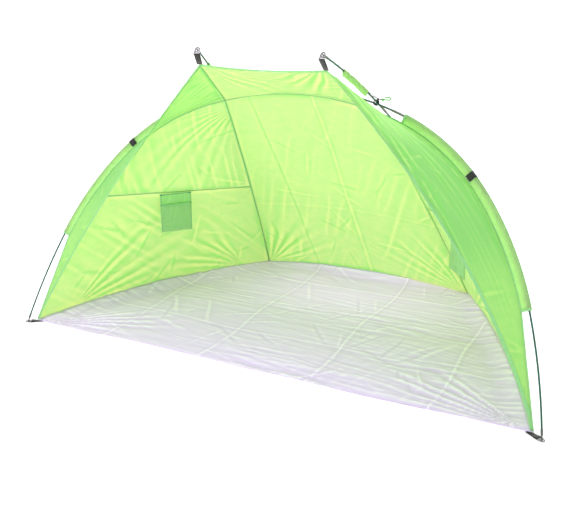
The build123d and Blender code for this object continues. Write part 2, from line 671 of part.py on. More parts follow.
os.makedirs("parts", exist_ok=True)
for name, solids in nodes.items():
    group = Compound(children=[piece for s in solids for piece in s.solids()])
    export_step(group.moved(Location(shift)), f"parts/{name}.step")
print(len(nodes), "nodes")
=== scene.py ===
import math

import bmesh
import bpy
import numpy as np
from bpy.props import FloatProperty, FloatVectorProperty, PointerProperty
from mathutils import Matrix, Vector


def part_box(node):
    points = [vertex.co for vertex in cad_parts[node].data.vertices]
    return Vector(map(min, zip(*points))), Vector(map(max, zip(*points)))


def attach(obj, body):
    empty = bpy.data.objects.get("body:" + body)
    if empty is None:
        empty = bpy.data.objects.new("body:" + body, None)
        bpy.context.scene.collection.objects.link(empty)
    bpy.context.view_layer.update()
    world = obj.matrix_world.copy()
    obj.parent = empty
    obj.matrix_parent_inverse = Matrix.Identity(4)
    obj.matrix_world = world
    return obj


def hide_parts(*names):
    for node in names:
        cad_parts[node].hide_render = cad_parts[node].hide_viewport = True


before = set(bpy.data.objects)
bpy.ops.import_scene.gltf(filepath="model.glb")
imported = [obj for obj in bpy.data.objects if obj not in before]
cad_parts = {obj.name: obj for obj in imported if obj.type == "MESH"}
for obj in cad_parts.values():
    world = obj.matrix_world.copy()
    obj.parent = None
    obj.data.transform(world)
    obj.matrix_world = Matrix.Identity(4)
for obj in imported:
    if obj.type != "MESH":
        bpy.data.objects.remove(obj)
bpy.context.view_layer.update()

bl_info = {
    "name": "Beach shelter",
    "version": (1, 0, 0),
    "blender": (4, 5, 0),
    "location": "View3D > Sidebar > Beach shelter",
    "description": "Builds the cloth, webbing and fittings of a pole-framed beach shelter",
    "category": "Add Mesh",
}

MM = 0.001
SIDES = (("right", 1.0), ("left", -1.0))

# ---- sizes of the frame that the cloth is cut to, in metres ----
FLOOR_LOW, FLOOR_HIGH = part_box("groundsheet")
FLOOR_Y = FLOOR_LOW.y
HALF_FRONT = FLOOR_HIGH.x
FLOOR_BOW = 26 * MM
HALF_REAR = 502.5 * MM
FLOOR_DEPTH = FLOOR_HIGH.y - FLOOR_LOW.y - FLOOR_BOW
PEAK = np.array((237.6 * MM, FLOOR_Y + 110 * MM, 1055 * MM))
WAIST_FRONT, WAIST_REAR = 500 * MM, 475 * MM
FREE_EDGE_BOW = (69 * MM, 54 * MM)
CORNER_BOW = np.array((2 * MM, 15 * MM, 10 * MM))
ROOF_DIP = 10 * MM
HOOP_LEAN = math.radians(23.6)
HOOP_START = 9.2
HOOP_TURNS = (10.9, 19.7, 29.7, 90 - 9.2 - 10.9 - 19.7 - 29.7)
CROSSING_AT = 3.24
POLE_R = 3.25 * MM
CROSS_LIFT = 7.1 * MM
SEAM_OFFSET = 26 * MM
HOOP_SLEEVE = (0.976, 2.948)
BAND_AT = 2.152
RIDGE_SLEEVE = (285 * MM, 130 * MM)
CORNER_SLEEVE = (110 * MM, 120 * MM)
PLATE_REACH = 16 * MM
FOOT_TAB = 21 * MM
PEAK_TAB = 42 * MM
FRONT_SPLAY, REAR_SPLAY = -36.0, 66.4
TAB_RISE, PLATE_LEAN = math.radians(55), math.radians(23)
LOOP_R = 3.4 * MM
TIP_PAST_PLATE = 6 * MM
POCKET_WIDTH, POCKET_DROP, POCKET_HEADER = 135 * MM, 165 * MM, 45 * MM
POCKET_CLEAR = 5 * MM
KNOT_R = 5.5 * MM
SLEEVE_R = 0.0064       # round part of a pole sleeve
TAB_SEWN = 0.025        # length of a foot tab sewn to the cloth
UP = np.array((0.0, 0.0, 1.0))


# ---- curves ----
def unit(v):
    return v / np.linalg.norm(v)


def lerp(a, b, t):
    return a + (b - a) * t


def smooth(t):
    t = np.clip(t, 0, 1)
    return t * t * (3 - 2 * t)


def plan(degrees):
    return np.array((math.cos(math.radians(degrees)), math.sin(math.radians(degrees)), 0))


def bowed(a, b, bow, t):
    """Point on the line a-b, pushed aside by bow at its middle."""
    return lerp(a, b, t) + bow * (4 * t * (1 - t))


def mirrored(points, side):
    return points * np.array((side, 1.0, 1.0))


FRONT_CORNER = np.array((HALF_FRONT, FLOOR_Y, 0))
REAR_CORNER = np.array((HALF_REAR, FLOOR_Y + FLOOR_DEPTH, 0))
FRONT_SEAT = FRONT_CORNER + plan(FRONT_SPLAY) * (FOOT_TAB + PLATE_REACH)
REAR_SEAT = REAR_CORNER + plan(REAR_SPLAY) * (FOOT_TAB + PLATE_REACH)
HOOP_UP = np.array((0, math.sin(HOOP_LEAN), math.cos(HOOP_LEAN)))


class Hoop:
    """Right half of the arched pole: four arcs of equal length in the leaning plane."""

    def __init__(self):
        self.length = 1.0       # a trial length; the next line scales it to reach the seat
        self.length = FRONT_SEAT[0] / -self.local(4)[0]

    def local(self, sections):
        x, s, heading = 0.0, 0.0, math.radians(HOOP_START)
        for i, turn in enumerate(HOOP_TURNS):
            share = min(max(sections - i, 0.0), 1.0)
            radius = self.length / math.radians(turn)
            end = heading + math.radians(turn) * share
            x += radius * (math.cos(end) - math.cos(heading))
            s += radius * (math.sin(end) - math.sin(heading))
            heading = end
        return x, s, heading

    def point(self, d):
        x, s, _ = self.local(d / self.length)
        return np.array((FRONT_SEAT[0] + x, FRONT_SEAT[1], 0)) + HOOP_UP * s

    def tangent(self, d):
        h = self.local(d / self.length)[2]
        return np.array((-math.sin(h), 0, 0)) + HOOP_UP * math.cos(h)

    def inward(self, d):
        h = self.local(d / self.length)[2]
        return np.array((-math.cos(h), 0, 0)) - HOOP_UP * math.sin(h)

    def seam(self, d):
        """Seam between wing and wall: straight from the floor corner to the sleeve, then along it."""
        bottom = HOOP_SLEEVE[0] * self.length
        there = self.point(max(d, bottom)) + self.inward(max(d, bottom)) * SEAM_OFFSET
        return there if d >= bottom else lerp(FRONT_CORNER, there, d / bottom)


class Ridge:
    """Right ridge pole: one arc from the rear foot over the hoop to the front peak."""

    def __init__(self, foot, crossing, front):
        a, b = crossing - foot, front - foot
        n = np.cross(a, b)
        self.normal = unit(n)
        to_centre = (np.cross(n, a) * b.dot(b) + np.cross(b, n) * a.dot(a)) / (2 * n.dot(n))
        self.centre = foot + to_centre
        self.radius = np.linalg.norm(to_centre)
        self.x = unit(foot - self.centre)
        self.y = np.cross(self.normal, self.x)
        self.crossing = self.distance(crossing)
        self.front = self.distance(front)

    def distance(self, place):
        out = place - self.centre
        return self.radius * math.atan2(out.dot(self.y), out.dot(self.x))

    def point(self, d):
        a = d / self.radius
        return self.centre + (self.x * math.cos(a) + self.y * math.sin(a)) * self.radius

    def tangent(self, d):
        a = d / self.radius
        return self.y * math.cos(a) - self.x * math.sin(a)

    def inward(self, d):
        return unit(self.centre - self.point(d))


hoop = Hoop()
HOOP_CROSSING = CROSSING_AT * hoop.length
CROSS_CORNER = hoop.seam(HOOP_CROSSING)
RIDGE_PLAN = unit((PEAK - CROSS_CORNER) * np.array((1, 1, 0)))
PEAK_TAB_DIR = RIDGE_PLAN * math.cos(TAB_RISE) + UP * math.sin(TAB_RISE)
PEAK_PLATE_DIR = UP * math.cos(PLATE_LEAN) - RIDGE_PLAN * math.sin(PLATE_LEAN)
PEAK_BAR = PEAK + PEAK_TAB_DIR * PEAK_TAB
PEAK_SEAT = PEAK_BAR + PEAK_PLATE_DIR * PLATE_REACH
ridge_run = hoop.point(HOOP_CROSSING) - REAR_SEAT
for _ in range(6):
    OVER_HOOP = unit(np.cross(hoop.tangent(HOOP_CROSSING), ridge_run))
    RIDGE_OVER = hoop.point(HOOP_CROSSING) + OVER_HOOP * CROSS_LIFT
    ridge = Ridge(REAR_SEAT, RIDGE_OVER, PEAK_SEAT)
    ridge_run = ridge.tangent(ridge.crossing)
RIDGE_END = ridge.front + TIP_PAST_PLATE


def by_height(curve, low, high, z):
    """Distance along a rising curve where it reaches height z."""
    for _ in range(40):
        mid = (low + high) / 2
        low, high = (mid, high) if curve(mid)[2] < z else (low, mid)
    return low


def corner_seam(t):
    return bowed(REAR_CORNER, CROSS_CORNER, CORNER_BOW, t)


def free_edge(t):
    return bowed(FRONT_CORNER, PEAK, np.array((FREE_EDGE_BOW[0], FREE_EDGE_BOW[1], 0)), t)


def floor_edge(t):
    run = REAR_CORNER - FRONT_CORNER
    out = unit(np.array((run[1], -run[0], 0)))
    return bowed(FRONT_CORNER, REAR_CORNER, out * FLOOR_BOW, t)


def rear_edge(t):
    return bowed(REAR_CORNER, mirrored(REAR_CORNER, -1), np.array((0, FLOOR_BOW, 0)), t)


def side_lift(t):
    """How far the walls draw the floor's side edge up from the ground."""
    return sizes().side_lift * math.sin(math.pi * t) ** 0.8 if 0 < t < 1 else 0.0


def rear_lift(t):
    return sizes().rear_lift * math.sin(math.pi * t) ** 0.8 if 0 < t < 1 else 0.0


WAIST_HOOP = by_height(hoop.seam, 0, HOOP_CROSSING, WAIST_FRONT)
WAIST_CORNER = by_height(corner_seam, 0, 1, WAIST_REAR)


def seam_bow(u):
    """Rise of the seam between roof and back above the line between the crossings."""
    d = HOOP_CROSSING + (4 * hoop.length - HOOP_CROSSING) * 2 * min(u, 1 - u)
    rise = hoop.seam(d) - CROSS_CORNER
    return np.array((0, rise[1], rise[2]))


# ---- relief of cloth ----
def noise(x, y, seed):
    """Smooth value noise from -1 to 1, one unit to a cell."""
    table = np.random.RandomState(seed).uniform(-1, 1, (64, 64))
    xi, yi = np.floor(x).astype(int), np.floor(y).astype(int)
    fx, fy = smooth(x - xi), smooth(y - yi)
    a, b = table[xi % 64, yi % 64], table[(xi + 1) % 64, yi % 64]
    c, d = table[xi % 64, (yi + 1) % 64], table[(xi + 1) % 64, (yi + 1) % 64]
    return lerp(lerp(a, b, fx), lerp(c, d, fx), fy)


def turned(x, y, degrees, along, across):
    """Coordinates in cells of the given length and width, turned by an angle."""
    c, s = math.cos(math.radians(degrees)), math.sin(math.radians(degrees))
    return (x * c + y * s) / along, (-x * s + y * c) / across


def pulled(x, y, degrees, along, across, seed):
    """Wrinkles drawn out along one direction: sharp crests, wide troughs."""
    n = noise(*turned(x, y, degrees, along, across), seed)
    return 1 - 2 * np.abs(n) ** 0.8


def fan(x, y, corner, middle, spread, count, reach, seed):
    """Folds that radiate from a corner under tension and die out at reach."""
    dx, dy = x - corner[0], y - corner[1]
    r = np.hypot(dx, dy)
    a = np.degrees(np.arctan2(dy, dx)) - middle
    a = (a + 180) % 360 - 180
    band = smooth((spread - np.abs(a)) / (spread * 0.4))
    rays = np.cos(np.radians(a * 360 * count / (2 * spread)) + 2 * noise(r / reach * 2, a / 9, seed))
    return rays * band * smooth(r / 0.05) * np.exp(-((r / reach) ** 2)) * np.minimum(1, r / 0.15)


def creases(x, y, count, span, seed, length=(0.08, 0.3), width=(0.004, 0.009)):
    """Packing creases: short sharp ridges at random places and angles."""
    rng = np.random.RandomState(seed)
    total = np.zeros_like(x)
    for _ in range(count):
        cx, cy = rng.uniform(*span[0]), rng.uniform(*span[1])
        angle, half = rng.uniform(0, math.pi), rng.uniform(*length) / 2
        wide, sign = rng.uniform(*width), rng.choice((-1, 1))
        lx = (x - cx) * math.cos(angle) + (y - cy) * math.sin(angle)
        ly = -(x - cx) * math.sin(angle) + (y - cy) * math.cos(angle)
        ly = ly + 0.012 * np.sin(lx * rng.uniform(8, 20))
        total += sign * np.exp(-np.abs(ly) / wide) * smooth(1.3 * (1 - np.abs(lx) / half))
    return total


# ---- meshes ----
def sizes():
    return bpy.context.scene.tent_sizes


def colours():
    return bpy.context.scene.tent_colours


def link(bm, name):
    mesh = bpy.data.meshes.new(name)
    bm.to_mesh(mesh)
    bm.free()
    piece = bpy.data.objects.new(name, mesh)
    bpy.context.scene.collection.objects.link(piece)
    mesh.polygons.foreach_set("use_smooth", np.ones(len(mesh.polygons), bool))
    return piece


def grid(columns, rows):
    """A unit grid and each vertex's share across and along."""
    bm = bmesh.new()
    bm.loops.layers.uv.new("UVMap")
    bmesh.ops.create_grid(bm, x_segments=columns, y_segments=rows, size=0.5, calc_uvs=True)
    across = np.array([round((v.co.x + 0.5) * columns) for v in bm.verts])
    up = np.array([round((v.co.y + 0.5) * rows) for v in bm.verts])
    return bm, across, up


def place(bm, points, flat):
    """Moves every vertex to its point, and its corners' UV to the flat cut in metres."""
    layer = bm.loops.layers.uv.active
    for v, p, f in zip(bm.verts, points, flat):
        v.co = p
        for corner in v.link_loops:
            corner[layer].uv = f


def grid_normals(p):
    along = np.gradient(p, axis=0)
    across = np.gradient(p, axis=1)
    n = np.cross(across, along)
    return n / np.maximum(np.linalg.norm(n, axis=2, keepdims=True), 1e-12)


def solid_cloth(piece, thick):
    shell = piece.modifiers.new("cloth thickness", "SOLIDIFY")
    shell.thickness = thick
    shell.offset = 0
    return piece


def mark_folds(bm, height, across, up):
    """Keep at each vertex how far it stands off the cloth round it: above 0 on a ridge, below in a valley."""
    mean = height
    for _ in range(3):
        padded = np.pad(mean, 1, mode="edge")
        mean = (padded[:-2, 1:-1] + padded[2:, 1:-1] + padded[1:-1, :-2] + padded[1:-1, 2:]) / 4
    off = (height - mean) / (0.25 * sizes().wrinkle)
    layer = bm.verts.layers.float.new("fold")
    for vert, value in zip(bm.verts, off[up, across]):
        vert[layer] = float(np.clip(value, -1, 1))


def panel(name, left, right, low, high, cell, relief, side=1.0, thick=None, lift=None, keep=0.012):
    """A cut of cloth between two side seams. relief(x, y) is its height off the smooth surface."""
    probe = np.array([[left(v), right(v)] for v in np.linspace(0, 1, 25)])
    tall = np.linalg.norm(np.diff(probe.mean(1), axis=0), axis=1).sum()
    wide = np.linalg.norm(probe[:, 0] - probe[:, 1], axis=1).max()
    columns, rows = max(4, round(wide / cell)), max(4, round(tall / cell))
    u, v = np.linspace(0, 1, columns + 1), np.linspace(0, 1, rows + 1)
    a, b = np.array([left(t) for t in v])[:, None], np.array([right(t) for t in v])[:, None]
    lo = np.array([low(t) if low else (0, 0, 0) for t in u], float)[None]
    hi = np.array([high(t) if high else (0, 0, 0) for t in u], float)[None]
    vv = v[:, None, None]
    p = a + (b - a) * u[None, :, None] + lo * (1 - vv) + hi * vv
    if lift:
        p[..., 2] += np.array([lift(t) for t in u])[None] * (1 - v[:, None]) ** 3
    run = np.linalg.norm(b - a, axis=2)
    x = (u[None] - 0.5) * run
    middle = p[:, columns // 2]
    y = np.concatenate([[0], np.cumsum(np.linalg.norm(np.diff(middle, axis=0), axis=1))])[:, None]
    y = np.broadcast_to(y, x.shape)
    rim = np.minimum(np.minimum(u[None], 1 - u[None]) * run, np.minimum(y, y.max() - y))
    height = relief(x, y) * smooth(rim / keep)
    p = p + grid_normals(p) * height[..., None]
    bm, across, up = grid(columns, rows)
    place(bm, mirrored(p[up, across], side), np.stack([x[up, across], y[up, across]], 1))
    mark_folds(bm, height, across, up)
    piece = solid_cloth(link(bm, name), thick or sizes().cloth)
    piece["flat_size"] = (float(run.max()), float(y.max()))
    piece["flat_area"] = float(((run[1:] + run[:-1]) / 2 * np.diff(y[:, :1], axis=0)).sum())
    return piece


def swept(name, places, section, side=1.0, wobble=None, closed=False, around=None):
    """A closed section carried along a row of (point, x axis, y axis) places, with capped ends.
    wobble(turn, distance) swells the section outwards."""
    section = np.array(section, float)
    loop = np.vstack([section, section[:1]])
    walk = np.concatenate([[0], np.cumsum(np.linalg.norm(np.diff(loop, axis=0), axis=1))])
    columns = around or len(section)
    if around:
        marks = np.linspace(0, walk[-1], columns + 1)
        loop = np.stack([np.interp(marks, walk, loop[:, i]) for i in (0, 1)], 1)
        walk = marks
    at, xs, ys = (np.array([q[i] for q in places]) for i in range(3))
    rows = len(places) - 1
    run = np.concatenate([[0], np.cumsum(np.linalg.norm(np.diff(at, axis=0), axis=1))])
    shape = np.broadcast_to(loop[None], (rows + 1, columns + 1, 2)).copy()
    if wobble:
        ahead, behind = np.roll(loop[:-1], -1, 0), np.roll(loop[:-1], 1, 0)
        out = ahead - behind
        out = np.stack([out[:, 1], -out[:, 0]], 1)
        area = np.sum(loop[:-1, 0] * np.roll(loop[:-1, 1], -1) - np.roll(loop[:-1, 0], -1) * loop[:-1, 1])
        out = out / np.maximum(np.linalg.norm(out, axis=1, keepdims=True), 1e-12) * np.sign(area)
        out = np.vstack([out, out[:1]])
        turn = walk / walk[-1]
        swell = wobble(turn[None] + 0 * run[:, None], run[:, None] + 0 * turn[None])
        swell[:, -1] = swell[:, 0]
        shape += out[None] * swell[..., None]
    p = at[:, None] + xs[:, None] * shape[..., :1] + ys[:, None] * shape[..., 1:]
    bm, across, up = grid(columns, rows)
    flat = np.stack([walk[across], run[up]], 1)
    place(bm, mirrored(p[up, across], side), flat)
    bmesh.ops.remove_doubles(bm, verts=bm.verts, dist=1e-6)
    rims = [e for e in bm.edges if e.is_boundary]
    if rims and not closed:
        bmesh.ops.holes_fill(bm, edges=rims, sides=0)
    bmesh.ops.recalc_face_normals(bm, faces=bm.faces)
    return link(bm, name)


def along(curve, start, end, count, x_axis=None):
    """Places along a pole curve, x towards the inside of its bend."""
    made = []
    for d in np.linspace(start, end, count):
        t = curve.tangent(d)
        x = x_axis(d) if x_axis else curve.inward(d)
        x = unit(x - t * x.dot(t))
        made.append((curve.point(d), x, np.cross(t, x)))
    return made


def on_line(points, normals):
    """Places along a line of points, x across it in the surface and y along the surface's normal."""
    points, normals = np.array(points), np.array(normals)
    run = np.gradient(points, axis=0)
    run = run / np.linalg.norm(run, axis=1, keepdims=True)
    x = np.cross(run, normals)
    x = x / np.linalg.norm(x, axis=1, keepdims=True)
    return list(zip(points, x, np.cross(x, run)))


def lozenge(wide, thick, corner=0.45, steps=3):
    """Flat section with rounded long edges."""
    r = thick * corner
    made = []
    for cx, cy, a in ((1, 1, 0), (-1, 1, 90), (-1, -1, 180), (1, -1, 270)):
        for i in range(steps + 1):
            t = math.radians(a + 90 * i / steps)
            made.append((cx * (wide / 2 - r) + r * math.cos(t), cy * (thick / 2 - r) + r * math.sin(t)))
    return made


def circle(radius, sides=12):
    return [(radius * math.cos(2 * math.pi * i / sides), radius * math.sin(2 * math.pi * i / sides))
            for i in range(sides)]


def joined(name, parts):
    """Several meshes as one piece."""
    bm = bmesh.new()
    for part in parts:
        bm.from_mesh(part.data)
        old = part.data
        bpy.data.objects.remove(part)
        bpy.data.meshes.remove(old)
    return link(bm, name)


def refined(name, node, bevel, segments=2):
    """A copy of a CAD node with its facets merged and its sharp edges broken."""
    bm = bmesh.new()
    bm.from_mesh(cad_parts[node].data)
    bmesh.ops.remove_doubles(bm, verts=bm.verts, dist=1e-6)
    bmesh.ops.dissolve_limit(bm, angle_limit=math.radians(1), verts=bm.verts, edges=bm.edges)
    piece = link(bm, name)
    edge = piece.modifiers.new("broken edges", "BEVEL")
    edge.width = bevel
    edge.segments = segments
    edge.limit_method = "ANGLE"
    edge.angle_limit = math.radians(40)
    edge.harden_normals = True
    return piece


def done(piece, body, slot, material, *nodes):
    piece.data.materials.clear()
    piece.data.materials.append(material)
    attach(piece, body)
    if nodes:
        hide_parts(*nodes)
    return piece


# ---- materials ----
def group(name, inputs, outputs):
    """An empty shader node group with its sockets, and its two ends."""
    tree = bpy.data.node_groups.new(name, "ShaderNodeTree")
    for label, kind, value in inputs:
        socket = tree.interface.new_socket(name=label, in_out="INPUT", socket_type=kind)
        if value is not None:
            socket.default_value = value
    for label, kind in outputs:
        tree.interface.new_socket(name=label, in_out="OUTPUT", socket_type=kind)
    return tree, tree.nodes.new("NodeGroupInput"), tree.nodes.new("NodeGroupOutput")


def wired(tree, kind, settings=(), **sockets):
    """A node with its settings, and its sockets given values or linked."""
    node = tree.nodes.new(kind)
    for key, value in dict(settings).items():
        setattr(node, key, value)
    for key, value in sockets.items():
        key = int(key[1:]) if key[0] == "i" and key[1:].isdigit() else key.replace("_", " ")
        if isinstance(value, bpy.types.NodeSocket):
            tree.links.new(value, node.inputs[key])
        else:
            node.inputs[key].default_value = value
    return node


def maths(tree, operation, a, b=0.0, c=0.0):
    return wired(tree, "ShaderNodeMath", {"operation": operation}, i0=a, i1=b, i2=c).outputs[0]


def blended(tree, share, a, b, mode="MIX"):
    node = wired(tree, "ShaderNodeMix", {"data_type": "RGBA", "blend_type": mode}, i0=share)
    for key, value in ((6, a), (7, b)):
        if isinstance(value, bpy.types.NodeSocket):
            tree.links.new(value, node.inputs[key])
        else:
            node.inputs[key].default_value = (*value, 1) if len(value) == 3 else value
    return node.outputs[2]


def weave_group():
    """Plain weave: threads over and under, in metres of cloth."""
    if "Woven threads" in bpy.data.node_groups:
        return bpy.data.node_groups["Woven threads"]
    tree, start, end = group("Woven threads", [("Vector", "NodeSocketVector", None),
                                               ("Pitch", "NodeSocketFloat", 0.001)],
                             [("Height", "NodeSocketFloat")])
    split = wired(tree, "ShaderNodeSeparateXYZ", Vector=start.outputs["Vector"])
    turn = maths(tree, "DIVIDE", math.pi, start.outputs["Pitch"])
    waves = [maths(tree, "SINE", maths(tree, "MULTIPLY", split.outputs[i], turn)) for i in (0, 1)]
    both = maths(tree, "MULTIPLY", *waves)
    ribs = maths(tree, "ADD", maths(tree, "ABSOLUTE", waves[0]), maths(tree, "ABSOLUTE", waves[1]))
    tree.links.new(maths(tree, "MULTIPLY_ADD", both, 0.5, ribs), end.inputs["Height"])
    return tree


def crumple_group():
    """Fine crumpling of thin coated cloth: sharp small facets over soft swells."""
    if "Crumpled cloth" in bpy.data.node_groups:
        return bpy.data.node_groups["Crumpled cloth"]
    tree, start, end = group("Crumpled cloth", [("Vector", "NodeSocketVector", None),
                                                ("Scale", "NodeSocketFloat", 12.0),
                                                ("Stretch", "NodeSocketFloat", 1.0)],
                             [("Height", "NodeSocketFloat"), ("Shade", "NodeSocketFloat")])
    squeezed = wired(tree, "ShaderNodeCombineXYZ", X=start.outputs["Stretch"], Y=1.0, Z=1.0)
    pos = wired(tree, "ShaderNodeVectorMath", {"operation": "MULTIPLY"},
                i0=start.outputs["Vector"], i1=squeezed.outputs[0])
    warp = wired(tree, "ShaderNodeTexNoise", Vector=pos.outputs[0], Scale=start.outputs["Scale"], Detail=3.0)
    moved = wired(tree, "ShaderNodeVectorMath", {"operation": "MULTIPLY_ADD"},
                  i0=warp.outputs["Color"], i1=(0.06, 0.06, 0.06), i2=pos.outputs[0])
    cells = wired(tree, "ShaderNodeTexVoronoi", {"feature": "SMOOTH_F1"}, Vector=moved.outputs[0],
                  Scale=start.outputs["Scale"], Smoothness=0.35)
    fine = wired(tree, "ShaderNodeTexNoise", Vector=moved.outputs[0], Detail=5.0, Roughness=0.6,
                 Scale=maths(tree, "MULTIPLY", start.outputs["Scale"], 3.5))
    height = maths(tree, "MULTIPLY_ADD", fine.outputs["Fac"], 0.45, cells.outputs["Distance"])
    tree.links.new(height, end.inputs["Height"])
    tree.links.new(fine.outputs["Fac"], end.inputs["Shade"])
    return tree


def stitch_group():
    """Two rows of lock stitches along a strip: mask is 1 on a thread."""
    if "Stitch rows" in bpy.data.node_groups:
        return bpy.data.node_groups["Stitch rows"]
    tree, start, end = group("Stitch rows", [("Vector", "NodeSocketVector", None),
                                             ("First", "NodeSocketFloat", 0.003),
                                             ("Second", "NodeSocketFloat", 0.009),
                                             ("Length", "NodeSocketFloat", 0.003)],
                             [("Mask", "NodeSocketFloat")])
    split = wired(tree, "ShaderNodeSeparateXYZ", Vector=start.outputs["Vector"])
    rows = []
    for label in ("First", "Second"):
        off = maths(tree, "ABSOLUTE", maths(tree, "SUBTRACT", split.outputs[0], start.outputs[label]))
        rows.append(maths(tree, "LESS_THAN", off, 0.0005))
    row = maths(tree, "MAXIMUM", *rows)
    beat = maths(tree, "FRACT", maths(tree, "DIVIDE", split.outputs[1], start.outputs["Length"]))
    tree.links.new(maths(tree, "MULTIPLY", row, maths(tree, "LESS_THAN", beat, 0.72)), end.inputs["Mask"])
    return tree


def uv_of(tree):
    return wired(tree, "ShaderNodeTexCoord").outputs["UV"]


def object_of(tree):
    return wired(tree, "ShaderNodeTexCoord").outputs["Object"]


def new_material(name):
    material = bpy.data.materials.new(name)
    material.use_nodes = True
    tree = material.node_tree
    tree.nodes.clear()
    return material, tree, tree.nodes.new("ShaderNodeOutputMaterial")


def use(tree, made, **sockets):
    node = wired(tree, "ShaderNodeGroup", {"node_tree": made})
    for key, value in sockets.items():
        if isinstance(value, bpy.types.NodeSocket):
            tree.links.new(value, node.inputs[key])
        else:
            node.inputs[key].default_value = value
    return node.outputs


def folded(tree, tint, valley, ridge):
    """Tint worn towards two others in the valleys and on the ridges of a piece's folds."""
    fold = wired(tree, "ShaderNodeAttribute", {"attribute_name": "fold"}).outputs["Fac"]
    # deep masks the painted shade of the valleys, high the painted highlight of the ridges
    deep = wired(tree, "ShaderNodeMath", {"operation": "MULTIPLY", "use_clamp": True},
                 i0=fold, i1=-0.9).outputs[0]
    high = wired(tree, "ShaderNodeMath", {"operation": "MULTIPLY", "use_clamp": True},
                 i0=fold, i1=0.7).outputs[0]
    return blended(tree, high, blended(tree, deep, tint, valley), ridge)


def taffeta(name, colour, through, stitches=None, shade=0.10, rough=0.5, crumple=14.0, deep=0.0012,
            painted_shade_band=None):
    """Thin coated cloth that lets light through; through is the share that passes."""
    if name in bpy.data.materials:
        return bpy.data.materials[name]
    material, tree, out = new_material(name)
    uv = uv_of(tree)
    weave = use(tree, weave_group(), Vector=uv, Pitch=0.0011)["Height"]
    folds = use(tree, crumple_group(), Vector=uv, Scale=crumple, Stretch=0.7)
    darker = tuple(c * (1 - shade * w) for c, w in zip(colour, (2.6, 0.7, 0.6)))
    tint = blended(tree, folds["Shade"], darker, tuple(min(1, c * 1.03) for c in colour))
    tint = blended(tree, maths(tree, "MULTIPLY", weave, 0.035), tint, (0.0, 0.05, 0.0))
    # Painted shade: a band up the wing, by its height along the cut, darkened where the upper wall stands
    # close behind it
    if painted_shade_band:
        reach = wired(tree, "ShaderNodeSeparateXYZ", Vector=uv).outputs["Y"]
        ramps = [wired(tree, "ShaderNodeMapRange", {"interpolation_type": "SMOOTHSTEP"}, Value=reach)
                 for _ in (0, 1)]
        for ramp, (start, end) in zip(ramps, painted_shade_band):
            ramp.inputs["From Min"].default_value = start
            ramp.inputs["From Max"].default_value = end
        mask = maths(tree, "MULTIPLY", ramps[0].outputs[0], ramps[1].outputs[0])
        tint = blended(tree, mask, tint, tuple(c * w for c, w in zip(colour, (0.66, 0.86, 0.84))))
    # Painted shade in the valleys and painted highlight on the ridges of the cloth's folds
    valley = tuple(c * w for c, w in zip(colour, (0.62, 0.90, 0.70)))
    tint = folded(tree, tint, valley, tuple(min(1, c * 1.08) for c in colour))
    if stitches:
        mask = use(tree, stitch_group(), Vector=uv, First=stitches[0], Second=stitches[1])["Mask"]
        tint = blended(tree, maths(tree, "MULTIPLY", mask, 0.75), tint, tuple(c * 0.35 for c in colour))
    bump = wired(tree, "ShaderNodeBump", Height=folds["Height"], Distance=deep, Strength=0.55)
    bump = wired(tree, "ShaderNodeBump", Height=weave, Distance=0.00008, Strength=0.5,
                 Normal=bump.outputs[0])
    front = wired(tree, "ShaderNodeBsdfPrincipled", Base_Color=tint, Roughness=rough,
                  Normal=bump.outputs[0])
    front.inputs["Specular IOR Level"].default_value = 0.35
    front.inputs["Sheen Weight"].default_value = 0.12
    front.inputs["Sheen Roughness"].default_value = 0.4
    behind = wired(tree, "ShaderNodeBsdfTranslucent", Color=tint, Normal=bump.outputs[0])
    mix = wired(tree, "ShaderNodeMixShader", i0=through, i1=front.outputs[0], i2=behind.outputs[0])
    tree.links.new(mix.outputs[0], out.inputs["Surface"])
    return material


def polythene(name, colour, rough, through):
    """Laminated woven polyethylene: crinkled, glossy, with packing folds."""
    if name in bpy.data.materials:
        return bpy.data.materials[name]
    material, tree, out = new_material(name)
    uv = uv_of(tree)
    tape = use(tree, weave_group(), Vector=uv, Pitch=0.0024)["Height"]
    large = use(tree, crumple_group(), Vector=uv, Scale=7.0, Stretch=0.35)
    small = use(tree, crumple_group(), Vector=uv, Scale=26.0, Stretch=0.5)
    tint = blended(tree, large["Shade"], tuple(c * 0.93 for c in colour), colour)
    dust = wired(tree, "ShaderNodeTexNoise", Vector=uv, Scale=160.0, Detail=4.0)
    tint = blended(tree, maths(tree, "MULTIPLY", dust.outputs["Fac"], 0.08), tint, (0.55, 0.54, 0.52))
    # Painted shade in the fold valleys and white painted glints on the crinkles' ridges
    tint = folded(tree, tint, tuple(c * 0.80 for c in colour), (1.0, 1.0, 1.0))
    bump = wired(tree, "ShaderNodeBump", Height=large["Height"], Distance=0.004, Strength=0.6)
    bump = wired(tree, "ShaderNodeBump", Height=small["Height"], Distance=0.0012, Strength=0.5,
                 Normal=bump.outputs[0])
    bump = wired(tree, "ShaderNodeBump", Height=tape, Distance=0.00006, Strength=0.4, Normal=bump.outputs[0])
    spread = maths(tree, "MULTIPLY_ADD", small["Shade"], 0.25, rough)
    front = wired(tree, "ShaderNodeBsdfPrincipled", Base_Color=tint, Roughness=spread,
                  Normal=bump.outputs[0])
    front.inputs["Coat Weight"].default_value = 0.25
    front.inputs["Coat Roughness"].default_value = 0.12
    if through == 0:
        tree.links.new(front.outputs[0], out.inputs["Surface"])
        return material
    behind = wired(tree, "ShaderNodeBsdfTranslucent", Color=tint, Normal=bump.outputs[0])
    mix = wired(tree, "ShaderNodeMixShader", i0=through, i1=front.outputs[0], i2=behind.outputs[0])
    tree.links.new(mix.outputs[0], out.inputs["Surface"])
    return material


